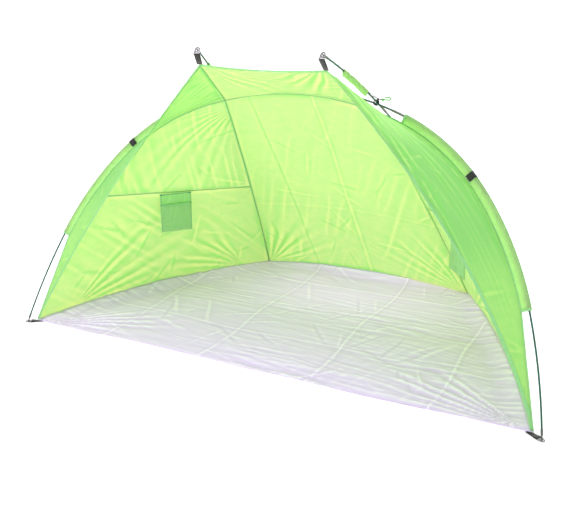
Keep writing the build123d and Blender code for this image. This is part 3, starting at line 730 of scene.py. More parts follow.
def strap(name, colour):
    """Ribbed polyester webbing."""
    if name in bpy.data.materials:
        return bpy.data.materials[name]
    material, tree, out = new_material(name)
    pos = object_of(tree)
    ribs = use(tree, weave_group(), Vector=uv_of(tree), Pitch=0.0016)["Height"]
    fuzz = wired(tree, "ShaderNodeTexNoise", Vector=pos, Scale=900.0, Detail=4.0)
    tint = blended(tree, fuzz.outputs["Fac"], tuple(c * 0.6 for c in colour), tuple(c * 1.8 for c in colour))
    tint = blended(tree, maths(tree, "MULTIPLY", ribs, 0.25), tint, tuple(c * 2.2 for c in colour))
    bump = wired(tree, "ShaderNodeBump", Height=ribs, Distance=0.0003, Strength=0.8)
    cover = wired(tree, "ShaderNodeBsdfPrincipled", Base_Color=tint, Roughness=0.75, Normal=bump.outputs[0])
    cover.inputs["Sheen Weight"].default_value = 0.3
    tree.links.new(cover.outputs[0], out.inputs["Surface"])
    return material


def fibreglass(name, colour):
    """Painted pole: satin with faint draw lines and rubbed specks."""
    if name in bpy.data.materials:
        return bpy.data.materials[name]
    material, tree, out = new_material(name)
    pos = object_of(tree)
    cloud = wired(tree, "ShaderNodeTexNoise", Vector=pos, Scale=40.0, Detail=6.0)
    specks = wired(tree, "ShaderNodeTexNoise", Vector=pos, Scale=1500.0, Detail=2.0)
    worn = maths(tree, "GREATER_THAN",
                 maths(tree, "MULTIPLY", cloud.outputs["Fac"], specks.outputs["Fac"]), 0.42)
    tint = blended(tree, cloud.outputs["Fac"],
                   tuple(c * 0.75 for c in colour), tuple(c * 1.3 for c in colour))
    tint = blended(tree, maths(tree, "MULTIPLY", worn, 0.5), tint, (0.20, 0.34, 0.28))
    bump = wired(tree, "ShaderNodeBump", Height=specks.outputs["Fac"], Distance=0.00005, Strength=0.3)
    skin = wired(tree, "ShaderNodeBsdfPrincipled", Base_Color=tint, Normal=bump.outputs[0],
                 Roughness=maths(tree, "MULTIPLY_ADD", cloud.outputs["Fac"], 0.2, 0.25))
    skin.inputs["Coat Weight"].default_value = 0.3
    tree.links.new(skin.outputs[0], out.inputs["Surface"])
    return material


def zinc(name, colour):
    """Zinc-plated steel, brushed and slightly spangled."""
    if name in bpy.data.materials:
        return bpy.data.materials[name]
    material, tree, out = new_material(name)
    pos = object_of(tree)
    cloud = wired(tree, "ShaderNodeTexNoise", Vector=pos, Scale=120.0, Detail=5.0)
    grain = wired(tree, "ShaderNodeTexNoise", Vector=pos, Scale=2400.0, Detail=2.0)
    tint = blended(tree, cloud.outputs["Fac"],
                   tuple(c * 0.82 for c in colour), tuple(min(1, c * 1.12) for c in colour))
    bump = wired(tree, "ShaderNodeBump", Height=grain.outputs["Fac"], Distance=0.00005, Strength=0.35)
    skin = wired(tree, "ShaderNodeBsdfPrincipled", Base_Color=tint, Metallic=1.0, Normal=bump.outputs[0],
                 Roughness=maths(tree, "MULTIPLY_ADD", cloud.outputs["Fac"], 0.3, 0.2))
    tree.links.new(skin.outputs[0], out.inputs["Surface"])
    return material


def moulded(name, colour, rough=0.3):
    """Glossy moulded plastic or twisted thread."""
    if name in bpy.data.materials:
        return bpy.data.materials[name]
    material, tree, out = new_material(name)
    pos = object_of(tree)
    cloud = wired(tree, "ShaderNodeTexNoise", Vector=pos, Scale=220.0, Detail=4.0)
    tint = blended(tree, cloud.outputs["Fac"],
                   tuple(c * 0.85 for c in colour), tuple(min(1, c * 1.1) for c in colour))
    bump = wired(tree, "ShaderNodeBump", Height=cloud.outputs["Fac"], Distance=0.0001, Strength=0.3)
    skin = wired(tree, "ShaderNodeBsdfPrincipled", Base_Color=tint, Normal=bump.outputs[0],
                 Roughness=maths(tree, "MULTIPLY_ADD", cloud.outputs["Fac"], 0.2, rough))
    tree.links.new(skin.outputs[0], out.inputs["Surface"])
    return material


def braid(name, colour):
    """Braided elastic cord: crossing yarns round it."""
    if name in bpy.data.materials:
        return bpy.data.materials[name]
    material, tree, out = new_material(name)
    pos = object_of(tree)
    turned_uv = wired(tree, "ShaderNodeMapping", Vector=uv_of(tree), Rotation=(0, 0, math.radians(40)))
    yarns = use(tree, weave_group(), Vector=turned_uv.outputs[0], Pitch=0.0009)["Height"]
    fuzz = wired(tree, "ShaderNodeTexNoise", Vector=pos, Scale=1200.0, Detail=3.0)
    tint = blended(tree, fuzz.outputs["Fac"], tuple(c * 0.6 for c in colour), tuple(c * 1.7 for c in colour))
    tint = blended(tree, maths(tree, "MULTIPLY", yarns, 0.3), tint, tuple(c * 2.5 for c in colour))
    bump = wired(tree, "ShaderNodeBump", Height=yarns, Distance=0.0003, Strength=0.9)
    skin = wired(tree, "ShaderNodeBsdfPrincipled", Base_Color=tint, Roughness=0.7, Normal=bump.outputs[0])
    tree.links.new(skin.outputs[0], out.inputs["Surface"])
    return material


# ---- sizes and colours a user may change ----
class TentSizes(bpy.types.PropertyGroup):
    cloth: FloatProperty(name="Cloth", description="Thickness of the panels as drawn", default=0.0005,
                         unit="LENGTH", precision=5)
    cell: FloatProperty(name="Mesh size", description="Spacing of the cloth mesh", default=0.0075,
                        unit="LENGTH")
    hem_width: FloatProperty(name="Hem width", description="Width of the edge hems", default=0.012,
                             unit="LENGTH")
    hem_thick: FloatProperty(name="Hem thickness", description="Thickness of the edge hems", default=0.0018,
                             unit="LENGTH", precision=4)
    seam_width: FloatProperty(name="Seam width", description="Width of the felled seams", default=0.008,
                              unit="LENGTH")
    side_lift: FloatProperty(name="Side lift", description="Rise of the floor's side edges", default=0.028,
                             unit="LENGTH")
    rear_lift: FloatProperty(name="Rear lift", description="Rise of the floor's rear edge", default=0.024,
                             unit="LENGTH")
    crinkle: FloatProperty(name="Floor crinkle", description="Height of the groundsheet's crinkles",
                           default=0.0040, unit="LENGTH", precision=4)
    wrinkle: FloatProperty(name="Cloth wrinkle", description="Height of the tension wrinkles", default=0.0032,
                           unit="LENGTH", precision=4)
    webbing: FloatProperty(name="Webbing", description="Thickness of the webbing", default=0.0012,
                           unit="LENGTH", precision=4)
    webbing_width: FloatProperty(name="Webbing width", description="Width of the webbing", default=0.02,
                                 unit="LENGTH")
    cord: FloatProperty(name="Tie cord", description="Diameter of the tie cord", default=0.0026,
                        unit="LENGTH", precision=4)


def colour_property(label, text, value):
    return FloatVectorProperty(name=label, description=text, default=value, size=3,
                               subtype="COLOR", min=0, max=1)


class TentColours(bpy.types.PropertyGroup):
    cloth: colour_property("Cloth", "Coated taffeta of roof and walls", (0.88, 1.0, 0.51))
    # Painted shade: a darker copy of the cloth's colour, used on the wings and the sleeves
    wing: colour_property("Wing cloth", "Cloth of the two front wings", (0.73, 0.97, 0.43))
    double: colour_property("Doubled cloth", "Hems and felled seams", (0.50, 0.90, 0.40))
    pocket: colour_property("Pocket", "Pocket cloth", (0.64, 0.95, 0.44))
    # Painted light: the groundsheet's grey is tinted towards magenta to offset the green light the cloth
    # casts on it
    floor: colour_property("Groundsheet", "Woven polyethylene", (0.83, 0.72, 0.92))
    border: colour_property("Border", "Folded edge of the groundsheet", (0.62, 0.62, 0.64))
    webbing: colour_property("Webbing", "Webbing tabs and bands", (0.008, 0.010, 0.008))
    pole: colour_property("Poles", "Painted fibreglass", (0.004, 0.085, 0.062))
    # Painted shade: the zinc is given a dark grey, well below bright plating, so the fittings show as dark as
    # they do in shade
    steel: colour_property("Fittings", "Zinc-plated steel", (0.17, 0.18, 0.175))
    hook: colour_property("Hook", "Moulded hook", (0.10, 0.55, 0.06))
    cord: colour_property("Cord", "Elastic and tie cord", (0.030, 0.026, 0.022))
    thread: colour_property("Thread", "Bartack thread", (0.0, 0.18, 0.15))
    backdrop: colour_property("Floor of the set", "Floor and backdrop", (0.95, 0.95, 0.95))


def cloth_look():
    return taffeta("Taffeta", tuple(colours().cloth), 0.60)


def wing_look():
    # The band given here is painted shade from the upper wall behind the wing
    return taffeta("Wing taffeta", tuple(colours().wing), 0.62, painted_shade_band=((0.42, 0.66), (1.12, 0.96)))


def hem_look():
    return taffeta("Doubled taffeta", tuple(colours().double), 0.35, stitches=(0.0030, 0.0095), crumple=22.0)


def seam_look():
    return taffeta("Felled seam", tuple(colours().double), 0.30, stitches=(0.0022, 0.0062), crumple=24.0)


def sleeve_look():
    return taffeta("Sleeve taffeta", tuple(colours().wing), 0.60, crumple=20.0, deep=0.002)


def webbing_look():
    return strap("Webbing", tuple(colours().webbing))


def steel_look():
    return zinc("Zinc steel", tuple(colours().steel))


def thread_look():
    return braid("Bartack thread", tuple(colours().thread))


def cord_look():
    return braid("Braided cord", tuple(colours().cord))


# ---- relief of each panel ----
def wall_relief(seed, tall):
    span = ((-0.5, 0.5), (0, tall))

    def relief(x, y):
        w = sizes().wrinkle
        return (w * 1.6 * noise(x / 0.22, y / 0.22, seed)
                + w * 0.35 * pulled(x, y, -38, 0.30, 0.035, seed + 1)
                + w * 0.8 * creases(x, y, 26, span, seed + 2)
                + w * 0.9 * fan(x, y, (-0.45, -0.02), 30, 24, 5, 0.5, seed + 3)
                + w * 0.9 * fan(x, y, (0.45, 0.0), 150, 30, 6, 0.35, seed + 4))
    return relief


def upper_relief(seed):
    span = ((-0.4, 0.4), (0, 0.5))

    def relief(x, y):
        w = sizes().wrinkle
        return (w * 1.2 * noise(x / 0.2, y / 0.2, seed)
                + w * 0.5 * pulled(x, y, 118, 0.34, 0.03, seed + 1)
                + w * 0.8 * creases(x, y, 18, span, seed + 2)
                + w * 0.7 * fan(x, y, (0.06, 0.52), -105, 36, 8, 0.45, seed + 3))
    return relief


def back_relief(x, y):
    w = sizes().wrinkle
    span = ((-0.5, 0.5), (0, 0.95))
    fold = np.exp(-np.abs(x - 0.03 - 0.02 * y) / 0.004) - 0.7 * np.exp(-np.abs(x + 0.24 - 0.03 * y) / 0.004)
    level = np.exp(-np.abs(y - 0.47) / 0.004) * 0.5
    corners = (fan(x, y, (-0.5, 0), 48, 34, 6, 0.4, 31) + fan(x, y, (0.5, 0), 132, 34, 6, 0.4, 32))
    return (w * 2.2 * noise(x / 0.3, y / 0.3, 21) + w * 0.4 * pulled(x, y, 70, 0.35, 0.05, 22)
            + w * 0.8 * creases(x, y, 30, span, 23) + w * (fold + level) + w * 0.8 * corners)


def roof_relief(x, y):
    w = sizes().wrinkle
    return (w * 1.5 * noise(x / 0.2, y / 0.15, 41) + w * 0.3 * pulled(x, y, 20, 0.25, 0.03, 42)
            + w * 0.7 * creases(x, y, 10, ((-0.3, 0.3), (0, 0.35)), 43)
            + w * 1.6 * (fan(x, y, (-0.24, 0.34), -50, 30, 5, 0.25, 44)
                         + fan(x, y, (0.24, 0.34), -130, 30, 5, 0.25, 45)))


def wing_relief(seed):
    def relief(x, y):
        w = sizes().wrinkle
        long = pulled(x, y, 88, 0.55, 0.016, seed + 1) + 0.7 * pulled(x, y, 96, 0.4, 0.028, seed + 4)
        bands = smooth((np.abs(x) - 0.01) / 0.12) * 0.6 + 0.4
        return (w * 2.4 * noise(x / 0.12, y / 0.4, seed) + w * 0.9 * long * bands
                + w * 0.8 * creases(x, y, 22, ((-0.2, 0.2), (0, 1.4)), seed + 2, (0.05, 0.2)))
    return relief


# ---- pieces ----
def floor_rise(x, y):
    """Lift of the groundsheet near its side and rear edges, for arrays of places."""
    t = np.clip((y - FLOOR_Y) / FLOOR_DEPTH, 0, 1)
    samples = np.linspace(0, 1, 60)
    edge_x = np.interp(t, samples, [floor_edge(s)[0] for s in samples])
    side = sizes().side_lift * np.sin(np.pi * t) ** 0.8
    inside = (edge_x - np.abs(x)) * 0.9
    across = np.clip(x / HALF_REAR * 0.5 + 0.5, 0, 1)
    rear = sizes().rear_lift * np.sin(np.pi * across) ** 0.8
    rear_y = FLOOR_Y + FLOOR_DEPTH + FLOOR_BOW * (1 - (2 * across - 1) ** 2)
    from_rear = rear_y - y
    wide = 0.10
    a = side * (1 - smooth(inside / wide)) ** 1.5
    b = rear * (1 - smooth(from_rear / wide)) ** 1.5
    return np.maximum(a, b)


def floor_relief(x, y):
    w = sizes().crinkle
    length = y - FLOOR_Y
    waves = pulled(x, length, 3, 0.30, 0.030, 51) + 0.6 * pulled(x, length, -8, 0.2, 0.018, 52)
    cross = 0.35 * pulled(x, length, 70, 0.3, 0.05, 53)
    folds = 0.0
    for at in (-0.66, -0.22, 0.22, 0.66):
        folds = folds + np.exp(-np.abs(x - at - 0.01 * np.sin(length * 9)) / 0.004)
    for at in (0.3, 0.62, 0.9):
        folds = folds + np.exp(-np.abs(length - at - 0.008 * np.sin(x * 7)) / 0.004)
    small = creases(x, length, 90, ((-1, 1), (0, 1.1)), 54, (0.06, 0.35), (0.004, 0.012))
    soft = noise(x / 0.25, length / 0.14, 55)
    patch = 0.55 + 0.45 * noise(x / 0.4, length / 0.3, 56)
    corner = (fan(x, length, (-0.98, 0.0), 25, 22, 6, 0.4, 57)
              + fan(x, length, (0.98, 0.0), 155, 22, 6, 0.4, 58))
    height = w * (0.9 * soft + 0.55 * waves * patch + cross * 0.4 + 0.9 * folds + 0.7 * small + 1.2 * corner)
    return np.maximum(height + 1.6 * w, 0.0)


def make_groundsheet():
    columns, rows = 262, 142
    bm, across, up = grid(columns, rows)
    right = np.array([floor_edge(v) for v in np.linspace(0, 1, rows + 1)])
    share = np.linspace(-1, 1, columns + 1)
    v = np.linspace(0, 1, rows + 1)
    x = share[None] * right[:, :1]
    y = right[:, 1:2] + FLOOR_BOW * (v[:, None] ** 3) * (1 - share[None] ** 2)
    z = floor_rise(x, y) + floor_relief(x, y) + sizes().cloth / 2
    p = np.stack([x, y, z], 2)
    place(bm, p[up, across], p[up, across][:, :2] - np.array((0, FLOOR_Y)))
    mark_folds(bm, p[..., 2] * 0.8, across, up)
    piece = solid_cloth(link(bm, "groundsheet_cloth"), sizes().cloth)
    look = polythene("Woven polythene", tuple(colours().floor), 0.28, 0.0)
    done(piece, "tent", "groundsheet", look, "groundsheet")


def floor_height(points):
    points = np.array(points)
    return floor_rise(points[:, 0], points[:, 1]) + floor_relief(points[:, 0], points[:, 1])


def make_floor_border():
    strips = []
    for kind, side in (("side", 1.0), ("side", -1.0), ("rear", 1.0)):
        edge = floor_edge if kind == "side" else rear_edge
        ts = np.linspace(0.0, 1.0, 120)
        outer = np.array([edge(t) for t in ts])
        run = np.gradient(outer, axis=0)
        inward = np.stack([-run[:, 1], run[:, 0], 0 * run[:, 0]], 1)
        inward = inward / np.linalg.norm(inward, axis=1, keepdims=True)
        centre = outer + inward * 0.0065
        far = centre + inward * 0.004
        near = centre - inward * 0.004
        centre[:, 2] = floor_height(mirrored(centre, side)) + 0.0016
        slope = floor_height(mirrored(far, side)) - floor_height(mirrored(near, side))
        normal = np.stack([-inward[:, 0] * slope / 0.008, -inward[:, 1] * slope / 0.008, np.ones(len(ts))], 1)
        normal = normal / np.linalg.norm(normal, axis=1, keepdims=True)
        strips.append(swept("strip", on_line(centre, normal), lozenge(0.012, 0.0016), side))
    piece = joined("floor_border_strip", strips)
    look = polythene("Border polythene", tuple(colours().border), 0.4, 0.0)
    done(piece, "tent", "groundsheet", look, "floor_border")


def make_lower_walls():
    for name, side in SIDES:
        piece = panel(f"lower_wall_cloth_{name}",
                      lambda v: hoop.seam(lerp(0.004, WAIST_HOOP, v)) + UP * 0.002 * (1 - v),
                      lambda v: corner_seam(lerp(0.003, WAIST_CORNER, v)),
                      lambda u: floor_edge(u) - lerp(FRONT_CORNER, REAR_CORNER, u), None,
                      sizes().cell * 1.15, wall_relief(61 if side > 0 else 71, 0.5), side,
                      lift=lambda u: max(0.0, side_lift(u) - 0.003))
        done(piece, "tent", "fabric", cloth_look(), f"lower_wall_{name}")


def make_upper_walls():
    for name, side in SIDES:
        piece = panel(f"upper_wall_cloth_{name}",
                      lambda v: hoop.seam(lerp(WAIST_HOOP, HOOP_CROSSING - 0.004, v)),
                      lambda v: corner_seam(lerp(WAIST_CORNER, 0.996, v)),
                      None, None, sizes().cell, upper_relief(81 if side > 0 else 91), side)
        done(piece, "tent", "fabric", cloth_look(), f"upper_wall_{name}")


def make_back_panel():
    piece = panel("back_panel_cloth",
                  lambda v: mirrored(corner_seam(lerp(0.003, 1.0, v)), -1),
                  lambda v: corner_seam(lerp(0.003, 1.0, v)),
                  lambda u: rear_edge(1 - u) - lerp(mirrored(REAR_CORNER, -1), REAR_CORNER, u), seam_bow,
                  sizes().cell, back_relief, lift=lambda u: max(0.0, rear_lift(u) - 0.003))
    done(piece, "tent", "fabric", cloth_look(), "back_panel")


def make_roof_panel():
    last = 1 - 0.011 / np.linalg.norm(PEAK - CROSS_CORNER)
    piece = panel("roof_panel_cloth",
                  lambda v: mirrored(lerp(CROSS_CORNER, PEAK, v * last), -1),
                  lambda v: lerp(CROSS_CORNER, PEAK, v * last),
                  seam_bow, lambda u: np.array((0, 0, -ROOF_DIP * 4 * u * (1 - u))),
                  sizes().cell * 0.8, roof_relief)
    done(piece, "tent", "fabric", cloth_look(), "roof_panel")


def wing_side(v):
    return hoop.seam(lerp(0.006, HOOP_CROSSING, v))


def wing_free(v):
    return free_edge(lerp(0.004, 0.998, v))


def make_wings():
    for name, side in SIDES:
        piece = panel(f"wing_cloth_{name}", wing_side, lambda v: lerp(wing_free(v), wing_side(v), 0.01),
                      None, None, sizes().cell, wing_relief(101 if side > 0 else 111), side, keep=0.02)
        done(piece, "tent", "fabric", wing_look(), f"wing_{name}")


def edge_hem(points, inner, width):
    """Places for a hem that lies just inside a free edge, on the cloth."""
    points, inner = np.array(points), np.array(inner)
    across = inner - points
    reach = np.linalg.norm(across, axis=1, keepdims=True)
    across = across / reach
    run = np.gradient(points, axis=0)
    run = run / np.linalg.norm(run, axis=1, keepdims=True)
    x = across - run * np.sum(across * run, axis=1, keepdims=True)
    x = x / np.linalg.norm(x, axis=1, keepdims=True)
    centre = points + x * np.minimum(width / 2, reach * 0.45)
    return list(zip(centre, x, np.cross(run, x)))


def make_wing_hems():
    for name, side in SIDES:
        vs = np.linspace(0.01, 1, 190)
        places = edge_hem([wing_free(v) for v in vs], [wing_side(v) for v in vs], sizes().hem_width)
        seed = 121 if side > 0 else 131

        def pucker(turn, d, seed=seed):
            return 0.0004 * noise(turn * 6, d / 0.012, seed) + 0.0004 * noise(turn * 3, d / 0.05, seed + 1)

        outline = lozenge(sizes().hem_width, sizes().hem_thick)
        piece = swept(f"wing_hem_fold_{name}", places, outline, side, pucker,
                      around=24)
        done(piece, "tent", "fabric_hem", hem_look(), f"wing_hem_{name}")


def roof_front(u):
    level = lerp(mirrored(PEAK, -1), PEAK, u)
    return level + np.array((0, 0, -ROOF_DIP * 4 * u * (1 - u)))


def make_roof_hem():
    us = np.linspace(0.004, 0.996, 80)
    rear = [lerp(mirrored(CROSS_CORNER, -1), CROSS_CORNER, u) + seam_bow(u) for u in us]
    places = edge_hem([roof_front(u) for u in us], rear, sizes().hem_width)
    piece = swept("roof_front_hem_fold", places, lozenge(sizes().hem_width, sizes().hem_thick),
                  wobble=lambda turn, d: 0.0004 * noise(turn * 6, d / 0.012, 141), around=24)
    done(piece, "tent", "fabric_hem", hem_look(), "roof_front_hem")


def make_seams():
    """Felled seams between panels: narrow strips of several layers, on the inside."""
    wide = sizes().seam_width

    def strip(points, normals, seed, width=wide):
        return swept("strip", on_line(points, normals), lozenge(width, 0.0014),
                     wobble=lambda turn, d: 0.0003 * noise(turn * 5, d / 0.01, seed), around=20)

    for name, side in SIDES:
        ts = np.linspace(0.006, 1, 130)
        corner = np.array([corner_seam(t) for t in ts])
        inside = np.tile(unit(np.array((-0.75, -0.66, 0.0))), (len(ts), 1))
        ds = np.linspace(WAIST_HOOP * 0.02, HOOP_CROSSING, 160)
        arch = np.array([hoop.seam(d) for d in ds])
        arch_in = np.array([unit(hoop.inward(d) * 0.3 + np.array((0, -1, 0)) * 0.95) for d in ds])
        us = np.linspace(0, 1, 90)
        waist = np.array([lerp(hoop.seam(WAIST_HOOP), corner_seam(WAIST_CORNER), u) for u in us])
        waist_in = np.tile(unit(np.cross(UP, waist[-1] - waist[0])), (90, 1))
        roof = np.array([lerp(CROSS_CORNER, PEAK, u) for u in np.linspace(0, 0.985, 50)])
        roof_in = np.tile(unit(np.array((-0.7, 0, -0.7))), (50, 1))
        made = []
        for points, normals, seed, width in ((corner, inside, 1, wide * 1.3), (arch, arch_in, 2, wide),
                                             (waist, waist_in, 3, wide * 0.8), (roof, roof_in, 4, wide)):
            made.append(strip(mirrored(points, side), mirrored(normals, side),
                              seed + (0 if side > 0 else 10), width))
        piece = joined(f"felled_seams_{name}", made)
        done(piece, "tent", "fabric_hem", seam_look())
    us = np.linspace(0, 1, 110)
    top = np.array([lerp(mirrored(CROSS_CORNER, -1), CROSS_CORNER, u) + seam_bow(u) for u in us])
    piece = strip(top, np.tile(unit(np.array((0, -0.8, -0.6))), (110, 1)), 30)
    piece.name = "roof_back_seam"
    done(piece, "tent", "fabric_hem", seam_look())


def teardrop(radius, reach, half=0.0007):
    """Section of a sleeve: round over the pole, drawn flat to the seam."""
    made = []
    for a in np.linspace(112, 248, 13):
        made.append((radius * math.cos(math.radians(a)), radius * math.sin(math.radians(a))))
    for t in np.linspace(0.18, 1, 6):
        made.append((lerp(-radius * 0.37, reach, t), -lerp(radius * 0.93, half, smooth(t) ** 0.8)))
    for t in np.linspace(1, 0.18, 6):
        made.append((lerp(-radius * 0.37, reach, t), lerp(radius * 0.93, half, smooth(t) ** 0.8)))
    return made


def make_hoop_sleeves():
    for name, side in SIDES:
        start, end = (s * hoop.length for s in HOOP_SLEEVE)
        places = along(hoop, start, end, 170)
        seed = 151 if side > 0 else 161

        def gathered(turn, d, seed=seed):
            flat = smooth(np.minimum(turn, 1 - turn) * 4 - 0.2)
            return (0.0016 * noise(turn * 5, d / 0.012, seed) * (0.35 + 0.65 * flat)
                    + 0.0012 * noise(turn * 9, d / 0.006, seed + 1) * 0.6
                    + 0.0016 * noise(turn * 2, d / 0.05, seed + 2) * flat)

        piece = swept(f"hoop_sleeve_cloth_{name}", places, teardrop(SLEEVE_R, SEAM_OFFSET - 0.002), side,
                      gathered, around=36)
        done(piece, "tent", "fabric", sleeve_look(), f"hoop_sleeve_{name}")


def make_sleeve_trim():
    """Piping along the outer edge of each hoop sleeve and a binding at each mouth."""
    start, end = (s * hoop.length for s in HOOP_SLEEVE)
    for name, side in SIDES:
        piping = [(p - x * 0.0074, x, y) for p, x, y in along(hoop, start, end, 170)]
        made = [swept("piping", piping, circle(0.0015, 8), side)]
        for place in (start, end - 0.007):
            ring = along(hoop, place, place + 0.007, 4)
            made.append(swept("binding", ring, teardrop(0.0080, SEAM_OFFSET, 0.0018), side))
        piece = joined(f"hoop_sleeve_trim_{name}", made)
        done(piece, "tent", "fabric_hem", seam_look())


def make_ridge_sleeves():
    for name, side in SIDES:
        places = along(ridge, RIDGE_END - RIDGE_SLEEVE[0], RIDGE_END - RIDGE_SLEEVE[1], 60)
        seed = 171 if side > 0 else 181

        def gathered(turn, d, seed=seed):
            return 0.0014 * noise(turn * 6, d / 0.010, seed) + 0.0009 * noise(turn * 3, d / 0.03, seed + 1)

        piece = swept(f"ridge_sleeve_cloth_{name}", places, teardrop(SLEEVE_R, 0.018), side, gathered,
                      around=36)
        done(piece, "tent", "fabric", sleeve_look(), f"ridge_sleeve_{name}")


def make_corner_sleeves():
    for name, side in SIDES:
        start, end = CORNER_SLEEVE[0], ridge.crossing - CORNER_SLEEVE[1]
        places = along(ridge, start, end, 120)
        seed = 191 if side > 0 else 201

        def gathered(turn, d, seed=seed):
            return 0.0008 * noise(turn * 5, d / 0.012, seed)

        tube = swept("tube", places, circle(0.0062, 20), side, gathered, around=24)

        def rim(v):
            d = lerp(start, end, v)
            return ridge.point(d) + ridge.inward(d) * 0.0055

        def seam(v):
            z = ridge.point(lerp(start, end, v))[2] - 0.0208
            at = corner_seam(by_height(corner_seam, 0, 1, z))
            return at + unit(rim(v) - at) * 0.003

        blade = panel("blade", rim, seam, None, None, sizes().cell,
                      lambda x, y: 0.001 * noise(x / 0.03, y / 0.08, seed + 1), side)
        blade.modifiers.clear()
        bm = bmesh.new()
        bm.from_mesh(blade.data)
        bmesh.ops.solidify(bm, geom=bm.faces[:], thickness=0.0008)
        bm.to_mesh(blade.data)
        bm.free()
        piece = joined(f"corner_sleeve_cloth_{name}", [tube, blade])
        done(piece, "tent", "fabric", sleeve_look(), f"corner_sleeve_{name}")


def make_sleeve_bands():
    """Webbing folded over each hoop sleeve and sewn down on both faces."""
    made = []
    for _, side in SIDES:
        d = BAND_AT * hoop.length
        centre, x, t = hoop.point(d), hoop.inward(d), hoop.tangent(d)
        y = np.cross(t, x)
        line = [(0.021, 0.0034), (0.012, 0.0062), (0.003, 0.0086)]
        line += [(0.0088 * math.cos(math.radians(a)), 0.0088 * math.sin(math.radians(a)))
                 for a in np.linspace(90, 270, 13)]
        line += [(0.003, -0.0086), (0.012, -0.0062), (0.021, -0.0034)]
        points = np.array([centre + x * a + y * b for a, b in line])
        run = np.gradient(points, axis=0)
        run = run / np.linalg.norm(run, axis=1, keepdims=True)
        places = [(p, t, np.cross(r, t)) for p, r in zip(points, run)]
        made.append(swept("band", places, lozenge(0.025, sizes().webbing), side))
    piece = joined("sleeve_bands_webbing", made)
    done(piece, "tent", "webbing", webbing_look(), "sleeve_bands")


def tab_frames():
    """Bar, direction away from the cloth, normal, free length and sewn length of each webbing tab."""
    lie = UP * LOOP_R
    peak_up = unit(np.cross(PEAK_TAB_DIR, np.cross(RIDGE_PLAN, UP)))
    return {
        "front_foot": (FRONT_CORNER + plan(FRONT_SPLAY) * FOOT_TAB + lie, plan(FRONT_SPLAY), UP,
                       FOOT_TAB, TAB_SEWN),
        "rear_foot": (REAR_CORNER + plan(REAR_SPLAY) * FOOT_TAB + lie, plan(REAR_SPLAY), UP,
                      FOOT_TAB, TAB_SEWN),
        "peak": (PEAK_BAR, PEAK_TAB_DIR, peak_up, PEAK_TAB, 0.0),
    }


def make_webbing_tabs():
    thick = sizes().webbing
    for kind, (bar, out, up, reach, sewn) in tab_frames().items():
        across = np.cross(up, out)
        eye = LOOP_R - thick / 2
        low = 0.0 if not sewn else -(LOOP_R - 0.0012) + thick
        flat = thick * 0.53
        ends = -(reach + sewn)
        close = -reach + 0.004
        side_line = [(ends, low + flat), (close, low + flat),
                     (close * 0.55, low * 0.5 + eye * 0.62), (close * 0.2, eye * 0.93)]
        turn = [(eye * math.sin(math.radians(a)), eye * math.cos(math.radians(a)))
                for a in np.linspace(0, 180, 11)]
        back = [(close * 0.2, -eye * 0.93), (close * 0.55, low * 0.5 - eye * 0.62 + (0.0008 if sewn else 0)),
                (close, low - flat), (ends, low - flat)]
        if sewn:
            back[1] = (close * 0.55, -eye * 0.9)
        points = np.array([bar + out * a + up * b for a, b in side_line + turn + back])
        fine = np.linspace(0, 1, 60)
        walk = np.concatenate([[0], np.cumsum(np.linalg.norm(np.diff(points, axis=0), axis=1))])
        points = np.stack([np.interp(fine * walk[-1], walk, points[:, i]) for i in range(3)], 1)
        run = np.gradient(points, axis=0)
        run = run / np.linalg.norm(run, axis=1, keepdims=True)
        for name, side in SIDES:
            places = [(p, across, np.cross(across, r)) for p, r in zip(points, run)]
            piece = swept(f"{kind}_webbing_{name}", places, lozenge(sizes().webbing_width, thick), side)
            done(piece, "tent", "webbing", webbing_look(), f"{kind}_tab_{name}")
        if kind == "peak":
            make_box_stitch(bar, out, up, across, reach)


def make_box_stitch(bar, out, up, across, reach):
    """Box and cross sewn through the peak webbing, in pale worn thread."""
    half, top, end = 0.0075, -reach + 0.019, -reach + 0.003
    corners = [(top, -half), (top, half), (end, half), (end, -half),
               (top, -half), (end, half), (end, -half), (top, half)]
    for name, side in SIDES:
        runs = []
        for face in (1, -1):
            off = sizes().webbing * 1.06 + 0.0003
            points = [bar + out * a + across * b + up * face * off for a, b in corners]
            for p, q in zip(points[:-1], points[1:]):
                line = [lerp(p, q, t) for t in np.linspace(0, 1, 6)]
                runs.append(swept("run", on_line(line, np.tile(up, (6, 1))), circle(0.00045, 6), side))
        piece = joined(f"peak_box_stitch_{name}", runs)
        done(piece, "tent", "webbing", braid("Worn thread", (0.22, 0.20, 0.17)))


def make_clips():
    for kind in ("front_foot", "rear_foot", "peak"):
        for name, _ in SIDES:
            piece = refined(f"{kind}_clip_{name}", f"{kind}_plate_{name}", 0.0004)
            done(piece, f"{kind}_clip_{name}", "steel", steel_look(), f"{kind}_plate_{name}")


